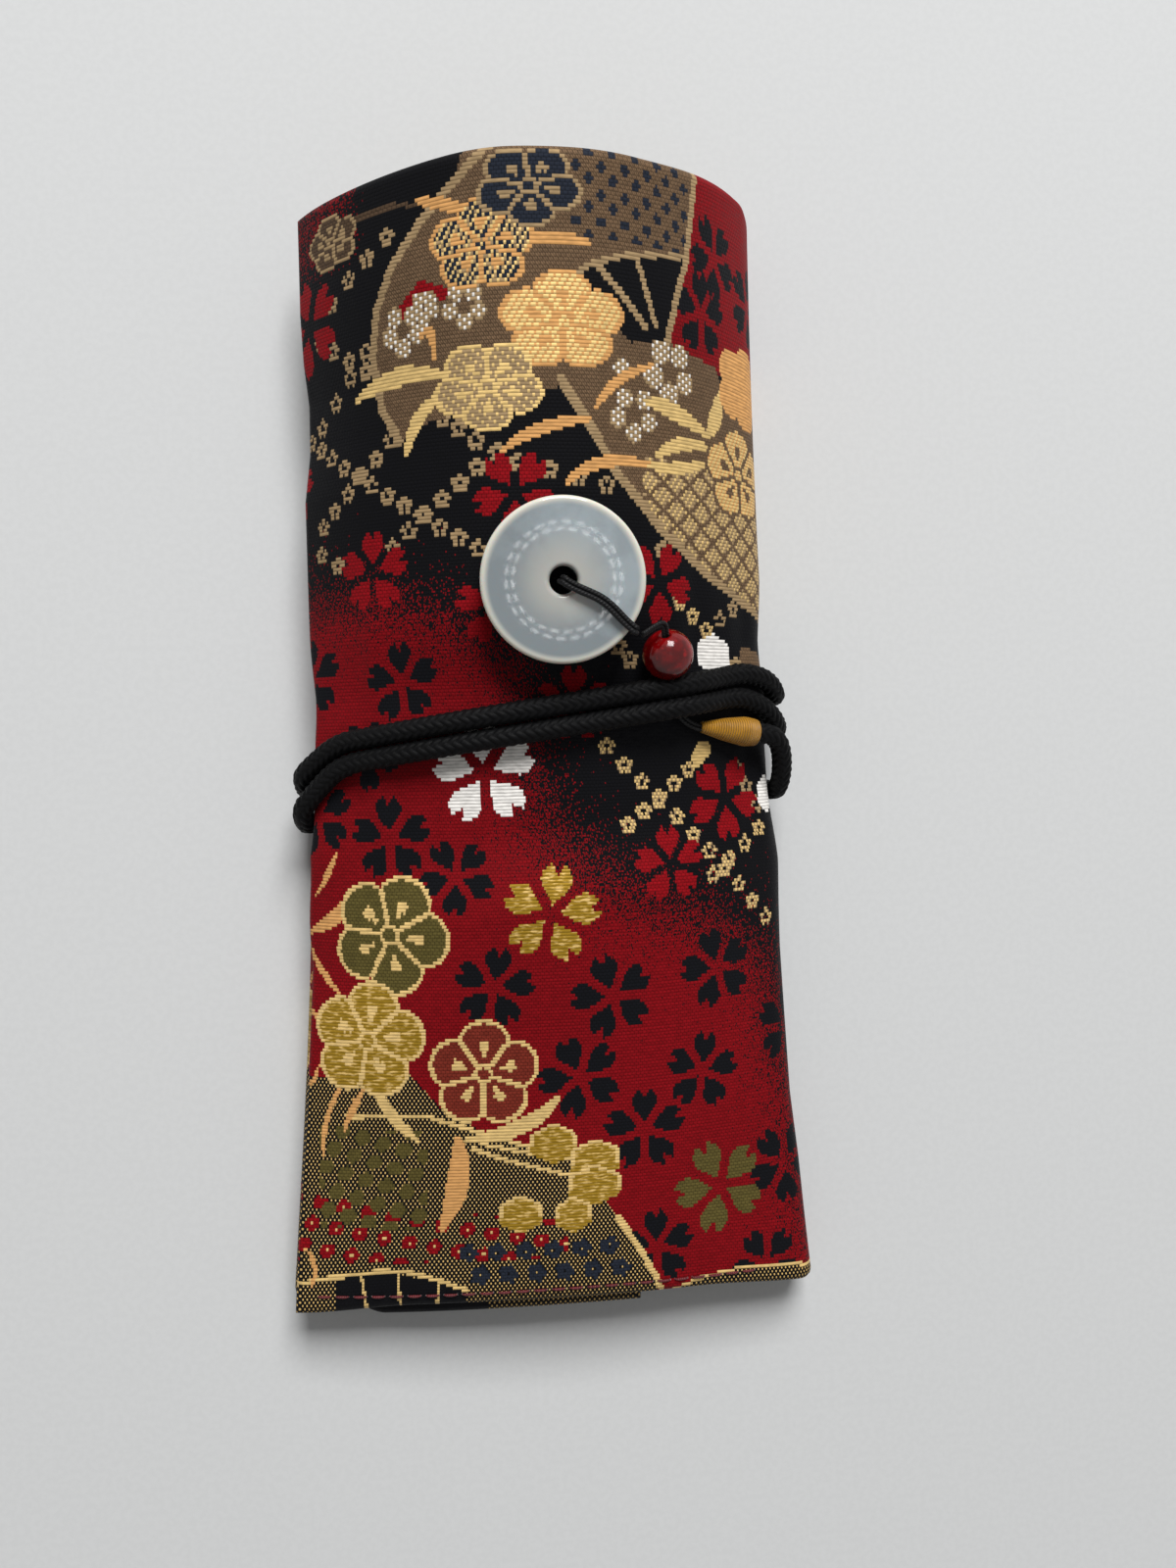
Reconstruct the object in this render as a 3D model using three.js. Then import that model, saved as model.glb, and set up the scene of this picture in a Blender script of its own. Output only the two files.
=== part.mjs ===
// A pen pouch of kimono brocade: a padded three-part wrap, folded in from the left and over from
// the right, and closed by a round braided cord wound about its waist. The cord ends in a thread
// whipping, a thin doubled leader, a stone bead and a stone ring disc that lies on the pouch.
// Millimetres. X runs across the pouch, Y along it to the full end, Z up. The origin is on the
// table under the middle of the pouch.
import * as THREE from 'three';

// Outer size of the closed pouch
const LENGTH = 186;
const FAR_HALF_WIDTH = 38.2;
const NEAR_HALF_WIDTH = 45.6;
const WIDTH_EASE = 2;
const NEAR_CROWN = 13.6;
const FAR_CROWN = 38.4;
const CROWN_ROUNDNESS = 2.3;
const EDGE_EASE_NEAR = 0.3;
const EDGE_EASE_FAR = 1.4;

// Cloth layers of each panel
const COVER_THICKNESS = 0.6;
const PADDING_THICKNESS = 1.2;
const PINCHED_PADDING = 0.5;
const LINING_THICKNESS = 0.5;
const LAYER_GAP = 0.3;
const PANEL_GAP = 0.35;
const LINING_SETBACK = 1.2;

// Waist, where the cord draws the pouch in
const BAND_CENTRE = 8.7;
const BAND_SLANT = 0.13;
const PINCH_SHIFT = 6.5;
const BAND_FLAT = 10.5;
const BAND_RAMP = 16;
const WAIST_SIDE_PINCH = 1.6;
const WAIST_CROWN_PINCH = 2.6;
const SHEAR_HOLD = 24;

// Folds on the two long sides
const RIGHT_FOLD_SETBACK = 5;
const RIGHT_FOLD_REACH = 3;
const RIGHT_FOLD_FULLNESS = 4.5;
const RIGHT_FOLD_GROWTH = 0.16;
const LEFT_FOLD_SETBACK = 4;
const LEFT_FOLD_FULLNESS = 2.7;
const LEFT_FOLD_GROWTH = 0.33;

// Inner flap and pen sleeves
const INNER_FLAP_SHARE = 0.34;
const SLEEVE_COUNT = 3;
const SLEEVE_WIDTH = 19;
const SLEEVE_THICKNESS = 0.6;
const SLEEVE_NEAR_SETBACK = 5;
const SLEEVE_MOUTH = 40;
const SLEEVE_NEAR_RISE = 1.6;
const SLEEVE_MOUTH_RISE = 12;
const BINDING_WIDTH = 5;
const BINDING_THICKNESS = 0.5;
const THREAD_THICKNESS = 0.4;
const SEAM_THREAD_WIDTH = 0.7;

// Hem stitching along the near end of the front flap
const HEM_INSET = 2.4;
const HEM_END_INSET = 5;

// Closing cord
const CORD_DIAMETER = 3.1;
const CORD_CLEARANCE = 0.3;
const CORD_EASE = 0.15;
const FRONT_PITCH = 3.65;
const SIDE_PITCH = 6;
const FRONT_MIDDLE = Math.PI * 2.5;
const FRONT_CLOSING = [0.2, 0.95];
const BACK_CLOSING = [-0.45, 0.45];
const LEADER_LIFT = 2.3;
const LEADER_LIFT_SHIFT = 1.5;
const LEADER_LIFT_REACH = 12;
const LOOP_STEPS = 24;
const CORD_SIDES = 6;
const FINE_STEPS = 96;
const BEND_WEIGHT = 1.5;
const START_ANGLE = Math.PI * 1.06;
const START_EASE = 0.6;
const START_REACH = 0.4;
const END_ANGLE = Math.PI * 5.84;
const BACK_SHIFT = 7;
const RIGHT_HOLD = 0.35;
const LEAD_STEPS = 8;
const LEAD_FULLNESS = 3.4;
const STRAIGHT_SHARE = 0.6;
const ANCHOR_LENGTH = 1.4;
const ANCHOR_WALL = 0.5;
const ANCHOR_SETBACK = 0.3;

// Whipping, leader, bead and disc
const WHIPPING_LENGTH = 11.5;
const WHIPPING_WIDE = 5.4;
const WHIPPING_TIP = 1.9;
const WHIPPING_INSET = 21.1;
const WHIPPING_OFFSET = 7.4;
const WHIPPING_REST = 0.75;
const WHIPPING_SWELL_AT = 0.42;
const WHIPPING_SWELL = 0.62;
const WHIPPING_WIDEST_AT = 0.8;
const WHIPPING_END_SHARE = 0.95;
const LEADER_DIAMETER = 1.3;
const BEAD_DIAMETER = 7.6;
const BEAD_BORE = 2;
const BEAD_INSET = 27.6;
const LEADER_END_GAP = 0.8;
const BEAD_STRAND_GAP = 1.3;
const BEAD_SLIDE = 3;
const BEAD_STEPS = 9;
const DISC_DIAMETER = 26;
const DISC_THICKNESS = 3;
const DISC_BORE = 4.4;
const LOOP_DIAMETER = 0.9;
const DISC_EDGE_ROUND = 0.6;
const DISC_FROM_BEAD = 21;
const DISC_BEARING = 145.6;
const REST_GAP = 0.35;
const LEADER_DRIFT = 2.6;
const LEADER_LOWER_DRIFT = 3.2;
const LEADER_STEPS = 36;
const LOOP_SIDES = 6;

// Mesh fineness
const NEAR_STATIONS = 3;
const FAR_STATIONS = 3;
const FLAP_STEPS = 13;
const INNER_STEPS = 10;
const FOLD_STEPS = 5;
const BASE_STEPS = 5;
const SLEEVE_STEPS = 6;
const ROUND_SIDES = 24;
const LEADER_SIDES = 8;
const SECTION_SAMPLES = 16;
const NORMAL_STEP = 0.02;
const PARALLEL = 1e-9;
const SEAM_SLACK = 1e-6;

const WHIPPING_TIP_X = NEAR_HALF_WIDTH - WHIPPING_INSET;
const BEAD_X = NEAR_HALF_WIDTH - BEAD_INSET;
const CORD_RADIUS = CORD_DIAMETER / 2;
const LEADER_RADIUS = LEADER_DIAMETER / 2;
const UNDER_STRAND = LEADER_RADIUS + CORD_CLEARANCE;
const BEAD_RADIUS = BEAD_DIAMETER / 2;
const DISC_RADIUS = DISC_DIAMETER / 2;
const DISC_BORE_RADIUS = DISC_BORE / 2;
const BASE_RAISE = CORD_DIAMETER + 2 * CORD_CLEARANCE;
const HALF_LENGTH = LENGTH / 2;
const PINCH_CENTRE = BAND_CENTRE - PINCH_SHIFT;

const lerp = THREE.MathUtils.lerp;
const smooth = (value) => THREE.MathUtils.smoothstep(value, 0, 1);

// Share of the way from the near end to the far end
function share(station) {
  return (station + HALF_LENGTH) / LENGTH;
}

// 1 in the band under the cord, falling to 0 away from it
function inBand(station) {
  const away = Math.abs(station - PINCH_CENTRE) - BAND_FLAT;
  return 1 - smooth(away / BAND_RAMP);
}

// Sections lie along the slanting cord near the waist and square to the pouch at its ends
function lengthAt(station, x) {
  const away = Math.abs(station - PINCH_CENTRE);
  const room = HALF_LENGTH - Math.sign(station - PINCH_CENTRE) * PINCH_CENTRE;
  const fade = 1 - smooth((away - SHEAR_HOLD) / (room - SHEAR_HOLD));
  return station + BAND_SLANT * x * fade;
}

function paddingAt(station) {
  return lerp(PADDING_THICKNESS, PINCHED_PADDING, inBand(station));
}

// Depth below a panel's outer face at which each layer starts and ends
function layerDepths(station) {
  const padding = COVER_THICKNESS + LAYER_GAP;
  const lining = padding + paddingAt(station) + LAYER_GAP;
  return {
    cover: [0, COVER_THICKNESS],
    padding: [padding, padding + paddingAt(station)],
    lining: [lining, lining + LINING_THICKNESS],
    panel: lining + LINING_THICKNESS,
  };
}

function baseHeight(station) {
  return BASE_RAISE * inBand(station);
}

function halfWidth(station) {
  const ease = Math.pow(1 - share(station), WIDTH_EASE);
  return lerp(FAR_HALF_WIDTH, NEAR_HALF_WIDTH, ease) - WAIST_SIDE_PINCH * inBand(station);
}

// Height of the front flap's outer face along its two long sides
function edgeHeight(station) {
  const stack = 3 * layerDepths(station).panel + 2 * PANEL_GAP;
  return baseHeight(station) + stack + lerp(EDGE_EASE_NEAR, EDGE_EASE_FAR, share(station));
}

function crownHeight(station) {
  return lerp(NEAR_CROWN, FAR_CROWN, share(station)) - WAIST_CROWN_PINCH * inBand(station);
}

// Outer face of the closed front flap, as a section point at a depth below it
function domePoint(station, x, depth) {
  const half = halfWidth(station);
  const edge = edgeHeight(station);
  const rise = crownHeight(station) - edge;
  const reach = Math.abs(x) / half;
  const z = edge + rise * (1 - Math.pow(reach, CROWN_ROUNDNESS));
  const slope = -Math.sign(x) * CROWN_ROUNDNESS * (rise / half) * Math.pow(reach, CROWN_ROUNDNESS - 1);
  const size = Math.hypot(1, slope);
  return { x: x + (slope / size) * depth, z: z - depth / size, tangent: [1 / size, slope / size] };
}

// A fold is a curve from the base up to a flap, set in by a depth
function foldPoint(start, end, outward, fold, t, depth) {
  const fullness = fold.fullness + fold.growth * (end.z - start[1]);
  const a = new THREE.Vector2(start[0], start[1]);
  const b = new THREE.Vector2(start[0] + outward * fullness, start[1]);
  const c = new THREE.Vector2(end.x + outward * end.tangent[0] * fullness,
    end.z + outward * end.tangent[1] * fullness);
  const d = new THREE.Vector2(end.x, end.z);
  const curve = new THREE.CubicBezierCurve(a, b, c, d);
  const point = curve.getPoint(t);
  const tangent = curve.getTangent(t);
  return { x: point.x - outward * tangent.y * depth, z: point.y + outward * tangent.x * depth };
}

function rightFoldPoint(station, t, depth) {
  const half = halfWidth(station);
  const end = domePoint(station, half - RIGHT_FOLD_REACH, 0);
  const start = [half - RIGHT_FOLD_SETBACK, baseHeight(station)];
  return foldPoint(start, end, 1, { fullness: RIGHT_FOLD_FULLNESS, growth: RIGHT_FOLD_GROWTH }, t, depth);
}

function innerOuterDepth(station) {
  return layerDepths(station).panel + PANEL_GAP;
}

function leftFoldPoint(station, t, depth) {
  const half = halfWidth(station);
  const end = domePoint(station, -half + LEFT_FOLD_SETBACK, innerOuterDepth(station));
  const start = [-half + LEFT_FOLD_SETBACK, baseHeight(station)];
  return foldPoint(start, end, -1, { fullness: LEFT_FOLD_FULLNESS, growth: LEFT_FOLD_GROWTH }, t, depth);
}

// A closed sheet between an outer and an inner surface, each given at u in 0 to 1 and at rows of v
function sheetGeometry(outer, inner, uCount, vRows) {
  const rows = vRows.length;
  const columns = uCount + 1;
  const positions = [];
  for (const surface of [outer, inner]) {
    for (const v of vRows) {
      for (let i = 0; i < columns; i += 1) {
        positions.push(...surface(i / uCount, v).toArray());
      }
    }
  }
  const under = rows * columns;
  const at = (row, column) => row * columns + column;
  const faces = [];
  const quad = (a, b, c, d) => faces.push(a, b, c, a, c, d);
  for (let row = 0; row < rows - 1; row += 1) {
    for (let column = 0; column < uCount; column += 1) {
      const [a, b] = [at(row, column), at(row, column + 1)];
      const [c, d] = [at(row + 1, column + 1), at(row + 1, column)];
      quad(a, b, c, d);
      faces.push(a + under, c + under, b + under, a + under, d + under, c + under);
    }
  }
  for (let column = 0; column < uCount; column += 1) {
    quad(at(0, column + 1), at(0, column), at(0, column) + under, at(0, column + 1) + under);
    quad(at(rows - 1, column), at(rows - 1, column + 1),
      at(rows - 1, column + 1) + under, at(rows - 1, column) + under);
  }
  for (let row = 0; row < rows - 1; row += 1) {
    quad(at(row, 0), at(row + 1, 0), at(row + 1, 0) + under, at(row, 0) + under);
    quad(at(row + 1, uCount), at(row, uCount), at(row, uCount) + under, at(row + 1, uCount) + under);
  }
  return facingOut(positions, faces);
}

// Turns every face round when the closed mesh is inside out
function facingOut(positions, faces) {
  const geometry = new THREE.BufferGeometry();
  geometry.setAttribute('position', new THREE.Float32BufferAttribute(positions, 3));
  const point = (index) => new THREE.Vector3().fromArray(positions, index * 3);
  let volume = 0;
  for (let i = 0; i < faces.length; i += 3) {
    const [a, b, c] = [point(faces[i]), point(faces[i + 1]), point(faces[i + 2])];
    volume += a.dot(b.cross(c));
  }
  geometry.setIndex(volume < 0 ? faces.slice().reverse() : faces);
  return geometry;
}

// Stations along the pouch: close together on the ramps beside the band, and even beyond them
function longStations(setback) {
  const ramp = BAND_FLAT + BAND_RAMP;
  const slope = BAND_FLAT + BAND_RAMP / 2;
  const beside = [-ramp, -slope, -BAND_FLAT, 0, BAND_FLAT, slope, ramp];
  const stations = beside.map((away) => PINCH_CENTRE + away);
  for (let i = 1; i <= NEAR_STATIONS; i += 1) {
    stations.unshift(lerp(PINCH_CENTRE - ramp, -HALF_LENGTH, i / NEAR_STATIONS));
  }
  for (let i = 1; i <= FAR_STATIONS; i += 1) {
    stations.push(lerp(PINCH_CENTRE + ramp, HALF_LENGTH, i / FAR_STATIONS));
  }
  stations[0] += setback;
  stations[stations.length - 1] -= setback;
  return stations;
}

function inSpace(section, station) {
  return new THREE.Vector3(section.x, lengthAt(station, section.x), section.z);
}

// One layer of a panel: pointAt gives its section point at u, a station and a depth
function layerGeometry(pointAt, layer, steps) {
  const setback = layer === 'cover' ? 0 : LINING_SETBACK;
  const surface = (side) => (u, station) => {
    return inSpace(pointAt(u, station, layerDepths(station)[layer][side]), station);
  };
  return sheetGeometry(surface(0), surface(1), steps, longStations(setback));
}

function basePanel(u, station, depth) {
  const half = halfWidth(station);
  const left = -half + LEFT_FOLD_SETBACK + LAYER_GAP;
  const right = half - RIGHT_FOLD_SETBACK - LAYER_GAP;
  return { x: lerp(left, right, u), z: baseHeight(station) + depth };
}

function frontPanel(u, station, depth) {
  const half = halfWidth(station);
  const right = half - RIGHT_FOLD_REACH - LAYER_GAP;
  return domePoint(station, lerp(right, -half, u), depth);
}

function innerPanel(u, station, depth) {
  const half = halfWidth(station);
  const left = -half + LEFT_FOLD_SETBACK + LAYER_GAP;
  return domePoint(station, lerp(left, half * INNER_FLAP_SHARE, u), innerOuterDepth(station) + depth);
}

// Height of the lining that the sleeves are sewn to
function floorHeight(station) {
  return baseHeight(station) + layerDepths(station).panel;
}

const SLEEVES_WIDTH = SLEEVE_COUNT * SLEEVE_WIDTH;
const SLEEVE_NEAR = -HALF_LENGTH + SLEEVE_NEAR_SETBACK;

function sleeveRows(from, to) {
  return [from, ...longStations(0).filter((station) => station > from && station < to), to];
}

// A row of arches, one for each pen, low at the sewn near end and high at the mouth
function sleevePoint(u, station, lift) {
  const along = (station - SLEEVE_NEAR) / (SLEEVE_MOUTH - SLEEVE_NEAR);
  const rise = lerp(SLEEVE_NEAR_RISE, SLEEVE_MOUTH_RISE, along);
  const x = (u - 0.5) * SLEEVES_WIDTH;
  const turn = u * SLEEVE_COUNT * Math.PI;
  const height = floorHeight(station) + LAYER_GAP + rise * Math.sin(turn) ** 2;
  const slope = (rise * Math.PI * Math.sin(2 * turn)) / SLEEVE_WIDTH;
  const size = Math.hypot(1, slope);
  return inSpace({ x: x - (slope / size) * lift, z: height + lift / size }, station);
}

function sleeveSheet(low, high, rows) {
  return sheetGeometry((u, station) => sleevePoint(u, station, high),
    (u, station) => sleevePoint(u, station, low), SLEEVE_COUNT * SLEEVE_STEPS, rows);
}

// The tape sewn over the mouth edge of the sleeves
function bindingGeometry() {
  const low = SLEEVE_THICKNESS + LAYER_GAP;
  return sleeveSheet(low, low + BINDING_THICKNESS, [SLEEVE_MOUTH - BINDING_WIDTH, SLEEVE_MOUTH]);
}

// Thread lying along a seam: a thin bar that follows points with a width across them
function threadGeometry(points, across) {
  const half = across.clone().multiplyScalar(SEAM_THREAD_WIDTH / 2);
  const top = (u, v) => threadPoint(points, v).add(half.clone().multiplyScalar(2 * u - 1));
  const raise = new THREE.Vector3(0, 0, THREAD_THICKNESS);
  const shares = points.map((_, i) => i / (points.length - 1));
  return sheetGeometry((u, v) => top(u, v).add(raise), top, 1, shares);
}

function threadPoint(points, v) {
  const place = v * (points.length - 1);
  const index = Math.min(Math.floor(place), points.length - 2);
  return points[index].clone().lerp(points[index + 1], place - index);
}

// Seam thread in the valley between two sleeves, or along the outer side of the row
function sleeveSeamGeometry(number) {
  const share = number / SLEEVE_COUNT;
  const rows = sleeveRows(SLEEVE_NEAR, SLEEVE_MOUTH - BINDING_WIDTH - SEAM_THREAD_WIDTH);
  const low = SLEEVE_THICKNESS + LAYER_GAP + SEAM_THREAD_WIDTH / 2;
  const points = rows.map((station) => sleevePoint(share, station, low));
  return threadGeometry(points, new THREE.Vector3(1, 0, 0));
}

function hemStitchGeometry() {
  const points = [];
  const station = -HALF_LENGTH + HEM_INSET;
  const half = halfWidth(station) - HEM_END_INSET;
  for (let i = 0; i <= FLAP_STEPS; i += 1) {
    const x = lerp(-half, half - RIGHT_FOLD_REACH, i / FLAP_STEPS);
    const section = domePoint(station, x, -LAYER_GAP);
    points.push(inSpace(section, station));
  }
  return threadGeometry(points, new THREE.Vector3(0, 1, 0));
}

// Closed outline of the pouch's section at a station, as the cord feels it
function outlinePoints(station) {
  const points = [];
  for (let i = 0; i <= SECTION_SAMPLES; i += 1) {
    const t = i / SECTION_SAMPLES;
    points.push(rightFoldPoint(station, t, 0));
    points.push(leftFoldPoint(station, t, 0));
    points.push(frontPanel(t, station, 0));
  }
  return points;
}

// Andrew's chain: the convex outline, counter-clockwise
function hull(points) {
  const sorted = points.slice().sort((p, q) => p.x - q.x || p.z - q.z);
  const turn = (o, p, q) => (p.x - o.x) * (q.z - o.z) - (p.z - o.z) * (q.x - o.x);
  const half = (list) => {
    const chain = [];
    for (const point of list) {
      while (chain.length > 1 && turn(chain[chain.length - 2], chain[chain.length - 1], point) <= 0) {
        chain.pop();
      }
      chain.push(point);
    }
    chain.pop();
    return chain;
  };
  return [...half(sorted), ...half(sorted.reverse())];
}

// Where a cord lies round the section at a station: the farthest reach along a direction
function wrapPoint(station, angle, offset) {
  const points = [];
  for (const near of [-CORD_RADIUS, 0, CORD_RADIUS]) {
    points.push(...outlinePoints(station + near));
  }
  const outline = hull(points);
  const half = halfWidth(station);
  const middle = (crownHeight(station) + baseHeight(station)) / 2;
  const flat = middle - baseHeight(station);
  const aim = new THREE.Vector2(half * Math.cos(angle), flat * Math.sin(angle)).normalize();
  let reach = 0;
  const grown = outline.map((point, i) => growCorner(outline, i, offset));
  for (let i = 0; i < grown.length; i += 1) {
    reach = Math.max(reach, rayReach(grown[i], grown[(i + 1) % grown.length], aim, middle));
  }
  return { x: aim.x * reach, z: middle + aim.y * reach };
}

// Moves a corner of the outline straight out by the offset
function growCorner(outline, index, offset) {
  const before = outline[(index + outline.length - 1) % outline.length];
  const after = outline[(index + 1) % outline.length];
  const here = outline[index];
  const along = new THREE.Vector2(after.x - before.x, after.z - before.z).normalize();
  return { x: here.x + along.y * offset, z: here.z - along.x * offset };
}

// Distance from the middle of the section to a side of the outline, along a direction
function rayReach(p, q, aim, middle) {
  const sx = q.x - p.x;
  const sz = q.z - p.z;
  const cross = aim.x * sz - aim.y * sx;
  if (Math.abs(cross) < PARALLEL) {
    return 0;
  }
  const px = p.x;
  const pz = p.z - middle;
  const distance = (px * sz - pz * sx) / cross;
  const along = (px * aim.y - pz * aim.x) / cross;
  return distance > 0 && along >= -SEAM_SLACK && along <= 1 + SEAM_SLACK ? distance : 0;
}

// Frame on the front flap's outer face: a place, the way out and the downhill way across
function seat(x, station, height) {
  const here = inSpace(domePoint(station, x, 0), station);
  const across = inSpace(domePoint(station, x + NORMAL_STEP, 0), station).sub(here).normalize();
  const along = inSpace(domePoint(station + NORMAL_STEP, x, 0), station + NORMAL_STEP).sub(here).normalize();
  const out = across.clone().cross(along).normalize();
  return { place: here.addScaledVector(out, height), out, across };
}

// The whipping lies on the flap at the right, its thin tip towards the middle
function whippingFrame() {
  const station = BAND_CENTRE - WHIPPING_OFFSET;
  const tip = seat(WHIPPING_TIP_X, station, WHIPPING_TIP / 2 + WHIPPING_REST).place;
  const wideX = WHIPPING_TIP_X + WHIPPING_LENGTH * WHIPPING_WIDEST_AT;
  const wide = seat(wideX, station, WHIPPING_WIDE / 2 + WHIPPING_REST).place;
  const axis = wide.sub(tip).normalize();
  return { tip, axis, end: tip.clone().addScaledVector(axis, WHIPPING_LENGTH) };
}

// How far a strand lies from the middle of the band, by its angle round the section: close together
// in front, and wider and nearer to the flat end at the sides and the back
function strandOffset(angle) {
  const front = (angle - FRONT_MIDDLE) / (2 * Math.PI);
  const hold = Math.cos(angle) > 0 ? RIGHT_HOLD : 0;
  const close = THREE.MathUtils.smoothstep(Math.sin(angle) + hold, ...FRONT_CLOSING);
  const facing = THREE.MathUtils.smoothstep(Math.sin(angle), ...BACK_CLOSING);
  return (0.5 - front) * lerp(SIDE_PITCH, FRONT_PITCH, close) - lerp(BACK_SHIFT, 0, facing);
}

// The cord rides up where the leader is tucked under it
function leaderLift(x, angle) {
  const near = 1 - smooth(Math.abs(x - BEAD_X - LEADER_LIFT_SHIFT) / LEADER_LIFT_REACH);
  return Math.sin(angle) > 0 ? LEADER_LIFT * near : 0;
}

// Picks points from a fine route, closer together where it bends
function thinned(fine, count) {
  const cost = [0];
  for (let i = 1; i < fine.length; i += 1) {
    const before = fine[i].clone().sub(fine[i - 1]);
    const after = fine[Math.min(i + 1, fine.length - 1)].clone().sub(fine[i]);
    const bend = after.lengthSq() > 0 ? before.angleTo(after) / (2 * Math.PI) : 0;
    cost.push(cost[i - 1] + before.length() / (4 * NEAR_HALF_WIDTH) + BEND_WEIGHT * bend);
  }
  const total = cost[cost.length - 1];
  const picked = [];
  for (let k = 0; k <= count; k += 1) {
    const wanted = (k / count) * total;
    picked.push(fine[cost.findIndex((value) => value >= wanted - Number.EPSILON * total)]);
  }
  return picked.filter((point, i) => i === 0 || point !== picked[i - 1]);
}

// A smooth lead between a place on the ring and a straight end
function leadPoints(place, along, end, back) {
  const curve = new THREE.CubicBezierCurve3(place, place.clone().addScaledVector(along, LEAD_FULLNESS),
    end.clone().addScaledVector(back, LEAD_FULLNESS), end);
  return curve.getPoints(LEAD_STEPS).slice(1);
}

function ringPoints() {
  const turns = (END_ANGLE - START_ANGLE) / (2 * Math.PI);
  const steps = Math.round(turns * FINE_STEPS);
  const points = [];
  for (let i = 0; i <= steps; i += 1) {
    const angle = lerp(START_ANGLE, END_ANGLE, i / steps);
    const station = BAND_CENTRE + strandOffset(angle);
    const stand = START_EASE * (1 - smooth((angle - START_ANGLE) / START_REACH));
    const offset = CORD_RADIUS + CORD_CLEARANCE + CORD_EASE + stand;
    const flat = wrapPoint(station, angle, offset);
    points.push(inSpace(wrapPoint(station, angle, offset + leaderLift(flat.x, angle)), station));
  }
  return points;
}

// The whole cord: down from the flap's free edge, round the waist, straight into the whipping
function cordPoints() {
  const ring = ringPoints();
  const heading = (from, to) => to.clone().sub(from).normalize();
  const whipping = whippingFrame();
  const end = whipping.end.clone().addScaledVector(whipping.axis, CORD_CLEARANCE);
  const into = end.clone().addScaledVector(whipping.axis, CORD_DIAMETER);
  const last = ring.length - 1;
  const final = leadPoints(ring[last], heading(ring[last - 1], ring[last]), into, whipping.axis);
  const loops = (END_ANGLE - START_ANGLE) / (2 * Math.PI);
  const bends = thinned([...ring, ...final], Math.round(loops * LOOP_STEPS) + LEAD_STEPS);
  const entering = end.clone().lerp(into, STRAIGHT_SHARE);
  return [...bends, entering, end];
}

// Rings of points round a route, each square to it
function sweepRings(points, radius, sides, closed) {
  const positions = [];
  let side = new THREE.Vector3(0, 1, 0);
  points.forEach((point, i) => {
    const count = points.length;
    const before = closed ? points[(i + count - 1) % count] : points[Math.max(i - 1, 0)];
    const after = closed ? points[(i + 1) % count] : points[Math.min(i + 1, count - 1)];
    const along = after.clone().sub(before).normalize();
    side = side.clone().addScaledVector(along, -side.dot(along)).normalize();
    const up = along.clone().cross(side);
    for (let k = 0; k < sides; k += 1) {
      const turn = (k / sides) * 2 * Math.PI;
      const place = point.clone().addScaledVector(side, Math.cos(turn) * radius);
      positions.push(...place.addScaledVector(up, Math.sin(turn) * radius).toArray());
    }
  });
  return positions;
}

// One unbroken tube round a list of points, with closed ends or joined to itself
function windingGeometry(points, radius, sides, closed) {
  const faces = [];
  const rings = points.length;
  for (let i = 0; i < (closed ? rings : rings - 1); i += 1) {
    for (let k = 0; k < sides; k += 1) {
      const [a, b] = [i * sides + k, i * sides + ((k + 1) % sides)];
      const next = ((i + 1) % rings) * sides - i * sides;
      faces.push(a, b, b + next, a, b + next, a + next);
    }
  }
  const last = (rings - 1) * sides;
  for (let k = 1; k < sides - 1 && !closed; k += 1) {
    faces.push(0, k + 1, k, last, last + k, last + k + 1);
  }
  return facingOut(sweepRings(points, radius, sides, closed), faces);
}

// Least clear distance between points of the cord that are over half a turn apart
function leastGap(points) {
  let least = Infinity;
  for (let i = 0; i < points.length; i += 1) {
    for (let k = i + LOOP_STEPS / 3; k < points.length - 1; k += 1) {
      const side = new THREE.Line3(points[k], points[k + 1]);
      const near = side.closestPointToPoint(points[i], true, new THREE.Vector3());
      least = Math.min(least, near.distanceTo(points[i]) - CORD_DIAMETER);
    }
  }
  return least;
}

function routeLength(points) {
  return points.slice(1).reduce((sum, point, i) => sum + point.distanceTo(points[i]), 0);
}

// A turned piece along an axis from a place; the profile is given as [radius, along]
function turned(profile, place, axis) {
  const geometry = new THREE.LatheGeometry(profile.map(([r, y]) => new THREE.Vector2(r, y)), ROUND_SIDES);
  const turn = new THREE.Quaternion().setFromUnitVectors(new THREE.Vector3(0, 1, 0), axis);
  return { geometry, place, turn };
}

function beadProfile() {
  const start = Math.asin(BEAD_BORE / 2 / BEAD_RADIUS);
  const profile = [];
  for (let i = 0; i <= BEAD_STEPS; i += 1) {
    const angle = lerp(start, Math.PI - start, i / BEAD_STEPS);
    profile.push([BEAD_RADIUS * Math.sin(angle), -BEAD_RADIUS * Math.cos(angle)]);
  }
  profile.push(profile[0]);
  return profile;
}

function discProfile() {
  const half = DISC_THICKNESS / 2;
  const round = DISC_EDGE_ROUND;
  const bore = DISC_BORE_RADIUS;
  return [[bore, -half + round], [bore + round, -half], [DISC_RADIUS - round, -half],
    [DISC_RADIUS, -half + round], [DISC_RADIUS, half - round], [DISC_RADIUS - round, half],
    [bore + round, half], [bore, half - round], [bore, -half + round]];
}

function whippingProfile() {
  const wide = WHIPPING_WIDE / 2;
  const tip = WHIPPING_TIP / 2;
  const swell = [lerp(tip, wide, WHIPPING_SWELL), WHIPPING_LENGTH * WHIPPING_SWELL_AT];
  return [[0, 0], [tip, 0], swell, [wide, WHIPPING_LENGTH * WHIPPING_WIDEST_AT],
    [wide * WHIPPING_END_SHARE, WHIPPING_LENGTH], [0, WHIPPING_LENGTH]];
}

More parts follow.
